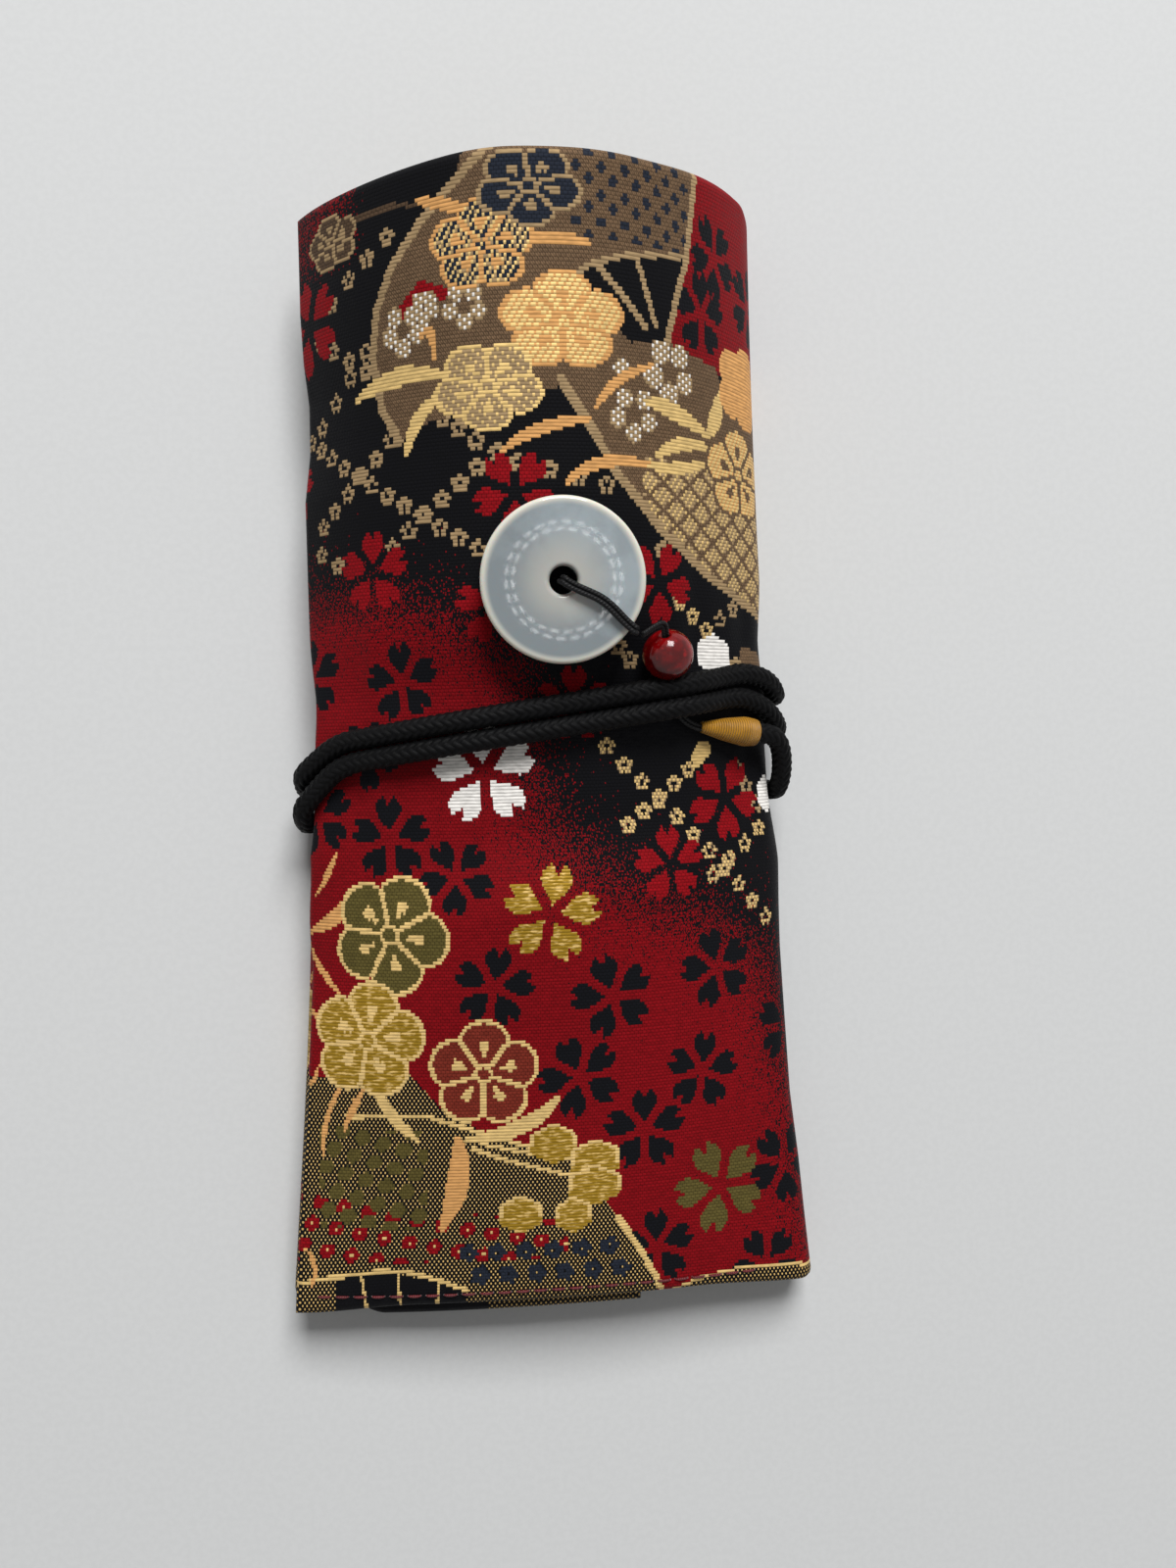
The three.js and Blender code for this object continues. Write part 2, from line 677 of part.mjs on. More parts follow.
function anchorProfile() {
  const inner = CORD_RADIUS + CORD_CLEARANCE;
  const outer = inner + ANCHOR_WALL;
  return [[inner, 0], [outer, 0], [outer, ANCHOR_LENGTH], [inner, ANCHOR_LENGTH], [inner, 0]];
}

// The bead rests on the flap against the upper strand; the leader runs straight through it
function beadFrame() {
  const away = FRONT_PITCH / 2 + CORD_RADIUS + BEAD_RADIUS + BEAD_STRAND_GAP;
  const { place } = seat(BEAD_X, BAND_CENTRE + away, BEAD_RADIUS + REST_GAP);
  const under = seat(BEAD_X + LEADER_DRIFT, BAND_CENTRE + FRONT_PITCH / 2, UNDER_STRAND).place;
  return { place, under, axis: place.clone().sub(under).normalize() };
}

// The disc lies along the crown, up the slope from the bead, on the loop's lower strand
function discFrame() {
  const bead = beadFrame().place;
  const bearing = THREE.MathUtils.degToRad(DISC_BEARING);
  const x = bead.x + DISC_FROM_BEAD * Math.cos(bearing);
  const y = bead.y + DISC_FROM_BEAD * Math.sin(bearing);
  const crown = seat(0, y, 0);
  const up = new THREE.Vector3(0, crown.out.y, crown.out.z).normalize();
  const place = new THREE.Vector3(x, y, crown.place.z);
  place.addScaledVector(up, DISC_THICKNESS / 2 + LOOP_DIAMETER + 2 * REST_GAP);
  const toBead = bead.clone().sub(place);
  const out = toBead.addScaledVector(up, -toBead.dot(up)).normalize();
  return { place, up, out };
}

const LOOP_INNER = -0.3;
const LOOP_OUTER = DISC_RADIUS + LOOP_DIAMETER / 2 + REST_GAP;
const LOOP_HEIGHT = DISC_THICKNESS / 2 + LOOP_DIAMETER / 2 + CORD_CLEARANCE;

// A closed ring of thin cord through the disc's hole and round its rim
function loopPoints() {
  const { place, up, out } = discFrame();
  const corner = LOOP_DIAMETER;
  const spans = [[LOOP_OUTER, LOOP_HEIGHT, 0], [LOOP_INNER, LOOP_HEIGHT, 1],
    [LOOP_INNER, -LOOP_HEIGHT, 2], [LOOP_OUTER, -LOOP_HEIGHT, 3]];
  const points = [];
  for (const [along, height, quarter] of spans) {
    const centre = [along - Math.sign(along) * corner, height - Math.sign(height) * corner];
    for (let k = 0; k <= 2; k += 1) {
      const turn = (quarter + k / 2) * (Math.PI / 2);
      const [a, h] = [centre[0] + corner * Math.cos(turn), centre[1] + corner * Math.sin(turn)];
      points.push(place.clone().addScaledVector(out, a).addScaledVector(up, h));
    }
  }
  return points;
}

// The leader: out of the whipping, under both strands, through the bead and up to the loop
function leaderPoints() {
  const whip = whippingFrame();
  const bead = beadFrame();
  const { place, up, out } = discFrame();
  const start = whip.tip.clone().addScaledVector(whip.axis, -CORD_CLEARANCE);
  const lower = seat(BEAD_X + LEADER_LOWER_DRIFT, BAND_CENTRE - FRONT_PITCH / 2, UNDER_STRAND).place;
  const past = bead.place.clone().addScaledVector(bead.axis, BEAD_RADIUS + BEAD_SLIDE);
  const end = place.clone().addScaledVector(out, LOOP_OUTER + LOOP_DIAMETER / 2 + LEADER_END_GAP);
  end.addScaledVector(up, LOOP_HEIGHT - LOOP_DIAMETER);
  return [start, start.clone().addScaledVector(whip.axis, -LEADER_DIAMETER), lower, bead.under,
    bead.place.clone().addScaledVector(bead.axis, -BEAD_RADIUS), bead.place,
    bead.place.clone().addScaledVector(bead.axis, BEAD_RADIUS), past,
    end.clone().addScaledVector(out, LEADER_DIAMETER), end];
}

// A round tube with ends, along a smooth curve through points
function tubeGeometry(points, radius, sides, steps) {
  const section = new THREE.Shape();
  for (let k = 0; k < sides; k += 1) {
    const turn = (k / sides) * 2 * Math.PI;
    const place = [radius * Math.cos(turn), radius * Math.sin(turn)];
    if (k === 0) {
      section.moveTo(...place);
    } else {
      section.lineTo(...place);
    }
  }
  section.closePath();
  const path = new THREE.CatmullRomCurve3(points);
  return new THREE.ExtrudeGeometry(section, { steps, extrudePath: path, bevelEnabled: false });
}

const COLOURS = {
  brocade: [0x7d1119, 0.6, 0],
  padding: [0xe8e2d4, 0.95, 0],
  lining: [0xe6d6bd, 0.85, 0],
  sleeve: [0x2a2c33, 0.8, 0],
  thread: [0x7a1c1c, 0.7, 0],
  cord: [0x0c0c0f, 0.65, 0],
  whipping: [0xb3800f, 0.5, 0],
  bead: [0x6e0a0c, 0.15, 0],
  stone: [0xa9b3b8, 0.2, 0],
};

const pouch = new THREE.Group();

function add(name, colour, geometry, place, turn) {
  const [color, roughness, metalness] = COLOURS[colour];
  const material = new THREE.MeshStandardMaterial({ color, roughness, metalness });
  const mesh = new THREE.Mesh(geometry, material);
  mesh.name = name;
  if (place) {
    mesh.position.copy(place);
  }
  if (turn) {
    mesh.quaternion.copy(turn);
  }
  pouch.add(mesh);
}

// Panels of cover, padding and lining, and the folds that join them
const rightFold = (u, station, depth) => rightFoldPoint(station, u, depth);
const leftFold = (u, station, depth) => leftFoldPoint(station, u, depth);
const PANELS = [
  ['back', basePanel, BASE_STEPS],
  ['fold_right', rightFold, FOLD_STEPS],
  ['front', frontPanel, FLAP_STEPS],
  ['fold_left', leftFold, FOLD_STEPS],
  ['inner', innerPanel, INNER_STEPS],
];
for (const [panel, pointAt, steps] of PANELS) {
  add(`cover_${panel}`, 'brocade', layerGeometry(pointAt, 'cover', steps));
  add(`padding_${panel}`, 'padding', layerGeometry(pointAt, 'padding', steps));
  add(`lining_${panel}`, 'lining', layerGeometry(pointAt, 'lining', steps));
}

// Pen sleeves and their stitching
add('sleeve_panel', 'sleeve', sleeveSheet(0, SLEEVE_THICKNESS, sleeveRows(SLEEVE_NEAR, SLEEVE_MOUTH)));
add('sleeve_binding', 'brocade', bindingGeometry());
for (let number = 0; number <= SLEEVE_COUNT; number += 1) {
  add(`sleeve_seam_${number + 1}`, 'thread', sleeveSeamGeometry(number));
}
add('hem_stitching', 'thread', hemStitchGeometry());

// Cord wound about the waist, lashed to the flap's free edge
const route = cordPoints();
add('wrap_cord', 'cord', windingGeometry(route, CORD_RADIUS, CORD_SIDES, false));
const lashingAxis = route[1].clone().sub(route[0]).normalize();
const lashingPlace = route[0].clone().addScaledVector(lashingAxis, ANCHOR_SETBACK);
const lashing = turned(anchorProfile(), lashingPlace, lashingAxis);
add('anchor_lashing', 'thread', lashing.geometry, lashing.place, lashing.turn);
console.log(`wrap cord: least gap to itself ${leastGap(route).toFixed(2)} mm`);
console.log(`wrap cord: length ${routeLength(route).toFixed(0)} mm`);

// Whipping over the cord's end
const whip = whippingFrame();
const whipping = turned(whippingProfile(), whip.tip, whip.axis);
add('cord_whipping', 'whipping', whipping.geometry, whipping.place, whipping.turn);

// Leader, bead, loop and disc
const beadSeat = beadFrame();
const discSeat = discFrame();
add('leader_cord', 'cord', tubeGeometry(leaderPoints(), LEADER_RADIUS, LEADER_SIDES, LEADER_STEPS));
const bead = turned(beadProfile(), beadSeat.place, beadSeat.axis);
add('bead', 'bead', bead.geometry, bead.place, bead.turn);
add('disc_loop', 'cord', windingGeometry(loopPoints(), LOOP_DIAMETER / 2, LOOP_SIDES, true));
const disc = turned(discProfile(), discSeat.place, discSeat.up);
add('disc', 'stone', disc.geometry, disc.place, disc.turn);

const written = (vector) => vector.toArray().map((value) => value.toFixed(4)).join(', ');
console.log(`bead at ${written(beadSeat.place)} along ${written(beadSeat.axis)}`);
console.log(`disc at ${written(discSeat.place)} facing ${written(discSeat.up)}`);
console.log(`disc towards bead ${written(discSeat.out)}`);

export default pouch;
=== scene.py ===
import math

import bmesh
import bpy
import numpy as np
from bpy.props import FloatProperty, FloatVectorProperty, PointerProperty
from bpy.types import Operator, Panel, PropertyGroup
from mathutils import Matrix, Vector


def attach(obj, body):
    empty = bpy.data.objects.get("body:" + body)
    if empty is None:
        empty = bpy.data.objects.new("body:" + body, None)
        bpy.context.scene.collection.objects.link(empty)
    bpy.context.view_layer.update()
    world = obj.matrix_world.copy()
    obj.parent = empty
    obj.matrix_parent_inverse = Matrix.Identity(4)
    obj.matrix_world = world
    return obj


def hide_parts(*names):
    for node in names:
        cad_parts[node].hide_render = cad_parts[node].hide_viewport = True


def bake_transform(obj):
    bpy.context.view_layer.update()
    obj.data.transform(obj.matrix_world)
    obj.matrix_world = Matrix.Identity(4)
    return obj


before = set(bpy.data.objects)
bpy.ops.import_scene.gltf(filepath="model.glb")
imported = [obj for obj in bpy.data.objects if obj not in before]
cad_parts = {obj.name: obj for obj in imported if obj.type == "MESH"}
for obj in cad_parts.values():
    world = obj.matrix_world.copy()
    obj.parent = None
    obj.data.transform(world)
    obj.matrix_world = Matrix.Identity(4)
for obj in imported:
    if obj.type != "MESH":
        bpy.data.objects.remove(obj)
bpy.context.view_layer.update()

bl_info = {
    "name": "Pen pouch",
    "version": (1, 0, 0),
    "blender": (4, 5, 0),
    "location": "View3D > Sidebar > Pen pouch",
    "description": "A brocade pen pouch closed by a braided cord with a whipping, bead and ring disc",
    "category": "Object",
}

MM = 0.001

# Form of the closed pouch, in millimetres: X across, Y to the full end, Z up
LENGTH = 186.0
HALF_LENGTH = LENGTH / 2
FAR_HALF_WIDTH = 38.2
NEAR_HALF_WIDTH = 45.6
WIDTH_EASE = 2.0
NEAR_CROWN = 13.6
FAR_CROWN = 38.4
CROWN_ROUNDNESS = 2.3
EDGE_EASE_NEAR = 0.3
EDGE_EASE_FAR = 1.4
COVER_THICKNESS = 0.6
PADDING_THICKNESS = 1.2
PINCHED_PADDING = 0.5
LINING_THICKNESS = 0.5
LAYER_GAP = 0.3
PANEL_GAP = 0.35
BAND_CENTRE = 8.7
BAND_SLANT = 0.13
PINCH_CENTRE = 2.2
BAND_FLAT = 10.5
BAND_RAMP = 16.0
WAIST_SIDE_PINCH = 1.6
WAIST_CROWN_PINCH = 2.6
SHEAR_HOLD = 24.0
BASE_RAISE = 3.7
RIGHT_FOLD_SETBACK = 5.0
RIGHT_FOLD_REACH = 3.0
RIGHT_FOLD = (4.5, 0.16)
LEFT_FOLD_SETBACK = 4.0
LEFT_FOLD = (2.7, 0.33)
INNER_FLAP_SHARE = 0.34
SLEEVE_COUNT = 3
SLEEVE_WIDTH = 19.0
SLEEVE_THICKNESS = 0.6
SLEEVE_NEAR = -HALF_LENGTH + 5
SLEEVE_MOUTH = 40.0
SLEEVE_NEAR_RISE = 1.6
SLEEVE_MOUTH_RISE = 12.0
BINDING_WIDTH = 5.0
HEM_INSET = 2.4

# Closing cord and what hangs from it, in millimetres
CORD_RADIUS = 1.55
CORD_CLEARANCE = 0.3
CORD_EASE = 0.15
FRONT_PITCH = 3.65
SIDE_PITCH = 6.0
BACK_SHIFT = 7.0
RIGHT_HOLD = 0.35
LEFT_HOLD = 0.4
RIGHT_DROP = 5.0
LEFT_OUT = 1.1
RIGHT_OUT = 1.2
START_IN = 2.8
START_TAPER = 0.55
START_ANGLE = math.pi * 1.06
START_EASE = 0.6
START_REACH = 0.4
BACK_CLOSING = (-0.45, 0.45)
FRONT_CLOSING = (0.2, 0.95)
# Where the cord's start gives way to its rounds and where its last run begins, in half turns
BEGINNING = (1.1, 1.4)
LAST_RUN = (5.3, 5.8)
LAST_RUN_IN = 0.7
SIDE_SPAN = (28.0, 40.0)
LEADER_SIDE = 1.5
LEADER_SPAN = 12.0
LEADER_LEAN = (2.6, 3.2)
LEADER_RUN_OUT = 2.8
BEAD_GAP = 1.3
LOOP_PAST_BORE = 0.3
LOOP_RISE = 0.3
END_ANGLE = math.pi * 5.84
FINE_STEPS = 96
LEAD_FULLNESS = 3.4
LEADER_LIFT = 2.3
BEAD_X = 18.0
BEAD_RADIUS = 3.8
BEAD_SHOWN_RADIUS = 4.15
WHIPPING_TIP_X = 25.3
WHIPPING_LENGTH = 10.4
WHIPPING_WIDE = 5.1
WHIPPING_TILT = 2.2
WHIPPING_TIP = 1.9
WHIPPING_OFFSET = 7.4
WHIPPING_REST = 0.75
LEADER_RADIUS = 0.65
DISC_RADIUS = 13.0
DISC_BEARING = 145.6
DISC_FROM_BEAD = 21.0
DISC_THICKNESS = 3.0
DISC_BORE_RADIUS = 2.2
LOOP_DIAMETER = 0.9
LOOP_SHOWN = 0.84
LOOP_BOW = 0.9
REST_GAP = 0.35
FLAT_EASE = 0.15
LEAD_IN_AT = 0.6
FRONT_ANGLE = math.pi * 2.5
LEADER_END_GAP = 0.8
LEADER_TUCK = 5.0
LOOP_OUTER = DISC_RADIUS + LOOP_DIAMETER / 2 + REST_GAP
LOOP_HEIGHT = DISC_THICKNESS / 2 + LOOP_DIAMETER / 2 + CORD_CLEARANCE

# Fineness of the meshes, in millimetres where they are lengths
SECTION_PASSES = 9
ROWS = 330
FRONT_COLUMNS = 272
BACK_COLUMNS = 170
FOLD_COLUMNS = 26
INNER_COLUMNS = 128
CORD_STEP = 0.33
CORD_SIDES = 36
LEADER_STEP = 0.25
LOOP_STEP = 0.3
THIN_SIDES = 10
SMOOTHING_PASSES = 12
STITCH_POINTS = 7
WHIPPING_SIDES = 48
WHIPPING_TURN_STEPS = 6
OUTLINE_POINTS = 17
CURVE_STEPS = 8
LOOP_CURVE_STEPS = 4
ROUNDING_STEPS = 6
BEAD_STEPS = 33
BEAD_SIDES = 64
DISC_SIDES = 128
# Samples across each panel of brocade before its columns are spaced evenly
FRONT_SAMPLES = 400
RIGHT_FOLD_SAMPLES = 80
BACK_SAMPLES = 90
LEFT_FOLD_SAMPLES = 60
INNER_SAMPLES = 120

# Heights listed with each brocade fold, in millimetres, which nothing here reads
RIGHT_BEND = (4.4, 6.7)
LEFT_BEND = (3.8, 6.3)

# Linings and sleeves, in millimetres
LINING_ROWS = 150
LINING_FRONT_COLUMNS = 280
LINING_BACK_COLUMNS = 90
LINING_FOLD_COLUMNS = 44
LINING_INNER_COLUMNS = 75
LINING_SAMPLES = 120
LINING_BACK_SAMPLES = 60
LINING_INNER_SAMPLES = 80
LINING_THREAD = 0.45
LINING_INSET = 1.2
LINING_NEAR_INSET = 0.6
LINING_FRONT_INSET = 0.7
LINING_FAR_INSET = 1.0
LINING_NEAR_REACH = 0.9
LINING_REACH_FROM = 85.0
# Where the lining bends at a fold: its flap, its side, from which height at the pouch's middle,
# how far up, and its climb to the full end
RIGHT_LINING_BEND = ("front_flap", 1, 5.72, 2.3, 0.0165)
LEFT_LINING_BEND = ("inner_flap", -1, 6.03, 1.25, 0.029)
BEND_CROWDING = 5.0
BEND_EASE = 0.6
BEND_BEYOND = 28.0
SLEEVE_THREAD = 0.4
SLEEVE_ROWS = 100
SLEEVE_COLUMNS = 91
BINDING_ROWS = 13
BINDING_COLUMNS = 181
BINDING_THICKNESS = 0.5

# Hems, gathers and stitches, in millimetres
HEM_TURNS = 6
HEM_RETURN = 3.0
HEM_SLACK = 0.05
END_HEM_DEPTH = 0.96
FRONT_NEAR_INSET = 0.1
GATHER_DEPTH = 0.45
SWELL_DEPTH = 0.3
# Distances from the cord between which the gathers set in and die out and the swells set in
GATHER_START = (3.0, 9.0)
GATHER_END = (12.0, 34.0)
SWELL_START = (10.0, 30.0)
# The left fold's bulge, and where it sets in along the pouch and from the side
FOLD_BULGE = 1.5
BULGE_ALONG = (8.0, 26.0)
BULGE_SIDE = (-3.5, 0.5)
# The inner flap's reach at the near end, and where it sets in along and across the pouch
INNER_NEAR_REACH = 2.6
INNER_REACH_FROM = 80.0
INNER_REACH_ACROSS = (-38.0, -30.0)
# How far the flap's far end runs on: at its free edge, more from the middle, more by the fold
FAR_REACH = (0.3, 1.4, 1.9)
FAR_REACH_MIDDLE = (-32.0, -5.0)
FAR_REACH_FOLD = (15.0, 35.0)
# Where the flap's ends begin along the pouch, and heights between which its top and sides do
FAR_PART = 60.0
NEAR_PART = 70.0
TOP_RISE = (2.0, 16.0)
SIDE_RISE = (0.2, 4.0)
CORNER_SPREAD = 1.1
CORNER_ACROSS = (25.0, 45.0)
STANDING_ACROSS = (15.0, 36.0)
SEAM_RADIUS = 0.3
SEAM_SPACING = 1.4
SEAM_END = 2.0
HEM_STITCH_RADIUS = 0.26
HEM_SPACING = 1.3
HEM_SIDE_INSET = 5.0
HEM_STITCH_LIFT = 0.1
# How far the flap's sides stand out beyond the plain form: place along the pouch and reach
LEFT_STANDS_OUT = (
    (-93, 0.3), (-80, 0.5), (-60, 0.2), (-33, 0.2), (-25, 1.2), (-14, 2.4), (-8, 1.8), (6, 1.5),
    (13, 1.3), (46, 1.9), (54, 1), (62, 1), (69, 1.8), (77, 2.2), (93, 2.2))
RIGHT_STANDS_OUT = (
    (-93, 1.4), (-80, 1), (-72, 0.8), (-60, 0.2), (-33, 0.3), (-25, 0.6), (-17, 1), (14, 1), (22, 0.6),
    (93, 0.4))

# Round pieces, in millimetres
BRAID_STRANDS = 8
BRAID_RELIEF = 0.3
BRAID_RADIUS = 1.8
# How fast a strand rounds off across and along
BRAID_ROUNDNESS = (0.7, 0.35)
TAPER_LENGTH = 5.0
LASHING_START = 0.3
LASHING_LENGTH = 1.4
LASHING_POINTS = 15
LASHING_THREAD = 0.35
LASHING_RELIEF = 0.12
LASHING_INNER = 0.1
LASHING_OUTER = 0.4
STRAND_RADIUS = 0.33
STRAND_OFFSET = 0.32
STRAND_OVERLAP = 0.02
STRAND_LEAD = 1.1
STRAND_RELIEF = 0.06
WHIPPING_RELIEF = 0.1
# Fibre streaks round a lashing and a whipping, and for each millimetre of a thin strand
LASHING_STREAKS = 20
WHIPPING_STREAKS = 30
STRAND_STREAKS = 3
# The whipping's outline: share of its length from the tip, and share of the way to its full width
WHIPPING_WAIST = (0.42, 0.62)
WHIPPING_FULL_AT = 0.8
WHIPPING_END = 0.9
WHIPPING_EASE = 12
BEAD_BORE_RADIUS = 0.85
DISC_ROUNDING = 0.7

# Camera and stage: camera, table gap and ring lamps in millimetres, the rest in metres
CAMERA_PLACE = (-15.8, 5.3, 232.3)
CAMERA_TILT = (math.radians(-2.09), math.radians(6.07))
CAMERA_ROLL = math.radians(-1.51)
SENSOR_WIDTH = 36.0
CAMERA_LENS = 29.25
TABLE_HALF_WIDTH = 3.0
TABLE_GAP = 0.03
KEY_PLACE = (0.25, 1.7, 1.6)
KEY_SIZE = 1.0
SEEN_ROOM = 0.72
RING_LAMPS = ((17.6, 26), (15.5, 24))
RING_LAMP_WIDTH = 0.8
RING_LAMP_SHARE = 0.6


def lerp(a, b, t):
    return a + (b - a) * t


def smooth(value, low=0.0, high=1.0):
    t = np.clip((np.asarray(value, float) - low) / (high - low), 0, 1)
    return t * t * (3 - 2 * t)


def share(station):
    return (station + HALF_LENGTH) / LENGTH


def in_band(station):
    return 1 - smooth((np.abs(station - PINCH_CENTRE) - BAND_FLAT) / BAND_RAMP)


def length_at(station, x):
    """Sections slant with the cord near the waist and are square to the pouch at its ends."""
    away = np.abs(station - PINCH_CENTRE)
    room = HALF_LENGTH - np.sign(station - PINCH_CENTRE) * PINCH_CENTRE
    return station + BAND_SLANT * x * (1 - smooth((away - SHEAR_HOLD) / (room - SHEAR_HOLD)))


def panel_depth(station):
    padding = lerp(PADDING_THICKNESS, PINCHED_PADDING, in_band(station))
    return COVER_THICKNESS + padding + LINING_THICKNESS + 2 * LAYER_GAP


def base_height(station):
    return BASE_RAISE * in_band(station)


def half_width(station):
    ease = np.power(np.clip(1 - share(station), 0, 2), WIDTH_EASE)
    return lerp(FAR_HALF_WIDTH, NEAR_HALF_WIDTH, ease) - WAIST_SIDE_PINCH * in_band(station)


def edge_height(station):
    stack = 3 * panel_depth(station) + 2 * PANEL_GAP
    return base_height(station) + stack + lerp(EDGE_EASE_NEAR, EDGE_EASE_FAR, share(station))


def crown_height(station):
    return lerp(NEAR_CROWN, FAR_CROWN, share(station)) - WAIST_CROWN_PINCH * in_band(station)


def dome_point(station, x, depth=0.0):
    """Closed front flap at a depth below its outer face: x, z and the way across."""
    half, edge = half_width(station), edge_height(station)
    rise = crown_height(station) - edge
    reach = np.abs(x) / half
    z = edge + rise * (1 - reach**CROWN_ROUNDNESS)
    slope = -np.sign(x) * CROWN_ROUNDNESS * (rise / half) * reach ** (CROWN_ROUNDNESS - 1)
    size = np.hypot(1, slope)
    return x + slope / size * depth, z - depth / size, 1 / size, slope / size


def fold_point(start_x, start_z, end, outward, fullness, t, depth):
    """A fold from the base up to a flap, as a curve that stands out at the side."""
    end_x, end_z, along_x, along_z = end
    full = fullness[0] + fullness[1] * (end_z - start_z)
    xs = (start_x, start_x + outward * full, end_x + outward * along_x * full, end_x)
    zs = (start_z, start_z, end_z + outward * along_z * full, end_z)
    point, way = [], []
    for a, b, c, d in (xs, zs):
        point.append((1 - t) ** 3 * a + 3 * (1 - t) ** 2 * t * b + 3 * (1 - t) * t * t * c + t**3 * d)
        way.append(3 * (1 - t) ** 2 * (b - a) + 6 * (1 - t) * t * (c - b) + 3 * t * t * (d - c))
    size = np.hypot(*way)
    return point[0] - outward * way[1] / size * depth, point[1] + outward * way[0] / size * depth


def right_fold(t, station, depth=0.0):
    half = half_width(station)
    end = dome_point(station, half - RIGHT_FOLD_REACH)
    return fold_point(half - RIGHT_FOLD_SETBACK, base_height(station), end, 1, RIGHT_FOLD, t, depth)


def left_fold(t, station, depth=0.0):
    half = half_width(station)
    end = dome_point(station, -half + LEFT_FOLD_SETBACK, panel_depth(station) + PANEL_GAP)
    return fold_point(-half + LEFT_FOLD_SETBACK, base_height(station), end, -1, LEFT_FOLD, t, depth)


def base_panel(u, station, depth=0.0):
    half = half_width(station)
    x = lerp(-half + LEFT_FOLD_SETBACK, half - RIGHT_FOLD_SETBACK, u)
    return x, base_height(station) + depth + 0 * x


def front_panel(u, station, depth=0.0, inset=0.0):
    half = half_width(station)
    return dome_point(station, lerp(-half + inset, half - RIGHT_FOLD_REACH, u), depth)[:2]


def inner_panel(u, station, depth=0.0, inset=0.0):
    half = half_width(station)
    x = lerp(-half + LEFT_FOLD_SETBACK, half * INNER_FLAP_SHARE - inset, u)
    return dome_point(station, x, panel_depth(station) + PANEL_GAP + depth)[:2]


def section_rows(panel, us, ys, **words):
    """Points of a panel at even lengths along the pouch; a word may be made from the station."""
    u, y = us[None, :], ys[:, None]
    station = y + 0 * u
    for _ in range(SECTION_PASSES):
        given = {key: value(station) if callable(value) else value for key, value in words.items()}
        x, z = panel(u, station, **given)
        station = np.clip(station + y - length_at(station, x), -HALF_LENGTH, HALF_LENGTH)
    return np.stack([x, y + 0 * x, z], axis=2)


def row_arcs(points, bend=None):
    """Length along each row, which counts several times where the cloth bends at a fold."""
    steps = np.linalg.norm(np.diff(points[:, :, (0, 2)], axis=1), axis=2)
    if bend:
        _, side, low, rise, climb = bend
        x, y, z = np.moveaxis(points[:, 1:], 2, 0)
        height, high = z - climb * y, low + rise
        bends = smooth(height, low - BEND_EASE, low) * smooth(-height, -high - BEND_EASE, -high)
        steps = steps * (1 + BEND_CROWDING * bends * (side * x > BEND_BEYOND))
    return np.concatenate([np.zeros((len(points), 1)), np.cumsum(steps, axis=1)], axis=1)


def path_arc(points):
    """Length along a path up to each of its points."""
    return np.concatenate([[0], np.cumsum(np.linalg.norm(np.diff(points, axis=0), axis=1))])


def resampled(points, arc, count):
    """A number of points at even lengths."""
    wanted = np.linspace(0, arc[-1], count)
    return np.stack([np.interp(wanted, arc, points[:, k]) for k in range(3)], axis=1)


def even_columns(points, count, bend=None):
    """Spaces each row's points evenly along it, and closer where the cloth bends."""
    return np.stack([resampled(row, arc, count) for row, arc in zip(points, row_arcs(points, bend))])


# The brocade's design, in millimetres on the cloth: across from its middle, along to the full end
YARNS = 15
(PALE, GOLD, PEACH, WHITE, DULL, TAN, BLACK, RED,
 INK, OLIVE, NAVY, RUST, ROSE, BROWN, SPECK) = range(YARNS)
SPOTTED = YARNS

# Edge of the red cloud, from the free edge to the fold: black lies above it
CLOUD = (
    (-80, 27), (-30, 27.5), (-20, 25.5), (-12, 21.5), (-6, 16), (-3.5, 8), (-4, 0), (-2, -8), (4, -15),
    (12, -21.5), (22, -25), (31, -29), (38, -35), (42, -48), (45, -64), (47.5, -84), (80, -130))
CLOUD_HAZE = (3.8, 4.4)
# Cherry blossoms: place, reach, turn of the first petal, yarn
CHERRIES = (
    (-5, 44, 6.8, 52, ROSE), (-29.5, 32.8, 6.8, 90, ROSE), (-8.5, 26.5, 6.5, 20, ROSE),
    (18.8, 30.2, 6.8, 60, ROSE), (4.2, 10.8, 6.5, 90, ROSE), (31.6, -5.6, 7.4, 60, ROSE),
    (20.6, -16.4, 6.6, 95, ROSE), (-44.5, 74, 8, 110, ROSE), (-50, 48, 6.5, 20, ROSE),
    (-40.5, -7, 6.8, 30, INK), (-27, -10.8, 7.2, 92, INK), (-15.8, -17.2, 6.6, 49, INK),
    (-10, -36, 7, 80, INK), (10, -38.4, 7.4, 34, INK), (29.5, -35, 7.2, 33, INK),
    (4.3, -52.2, 7.4, 40, INK), (26.2, -53, 7, 82, INK), (15.5, -62.5, 7.4, 90, INK),
    (17.6, -84.2, 7, 92, INK), (42.3, -71.8, 7.4, 57, INK), (38, -89.6, 6.8, 48, INK),
    (44.5, -47, 7, 150, INK), (-24.3, 15, 6.6, 24, INK), (-43, 16, 6.8, 30, INK),
    (-31, 3.2, 6, 60, INK), (29, 73.8, 6.8, 20, INK), (33.2, 83.6, 6.8, 50, INK),
    (46, 79, 7.2, 140, INK), (-10.8, -0.1, 8.8, 22, WHITE), (-0.3, -23.8, 8.4, 79, GOLD),
    (29.4, -74.2, 8.6, 42, OLIVE))
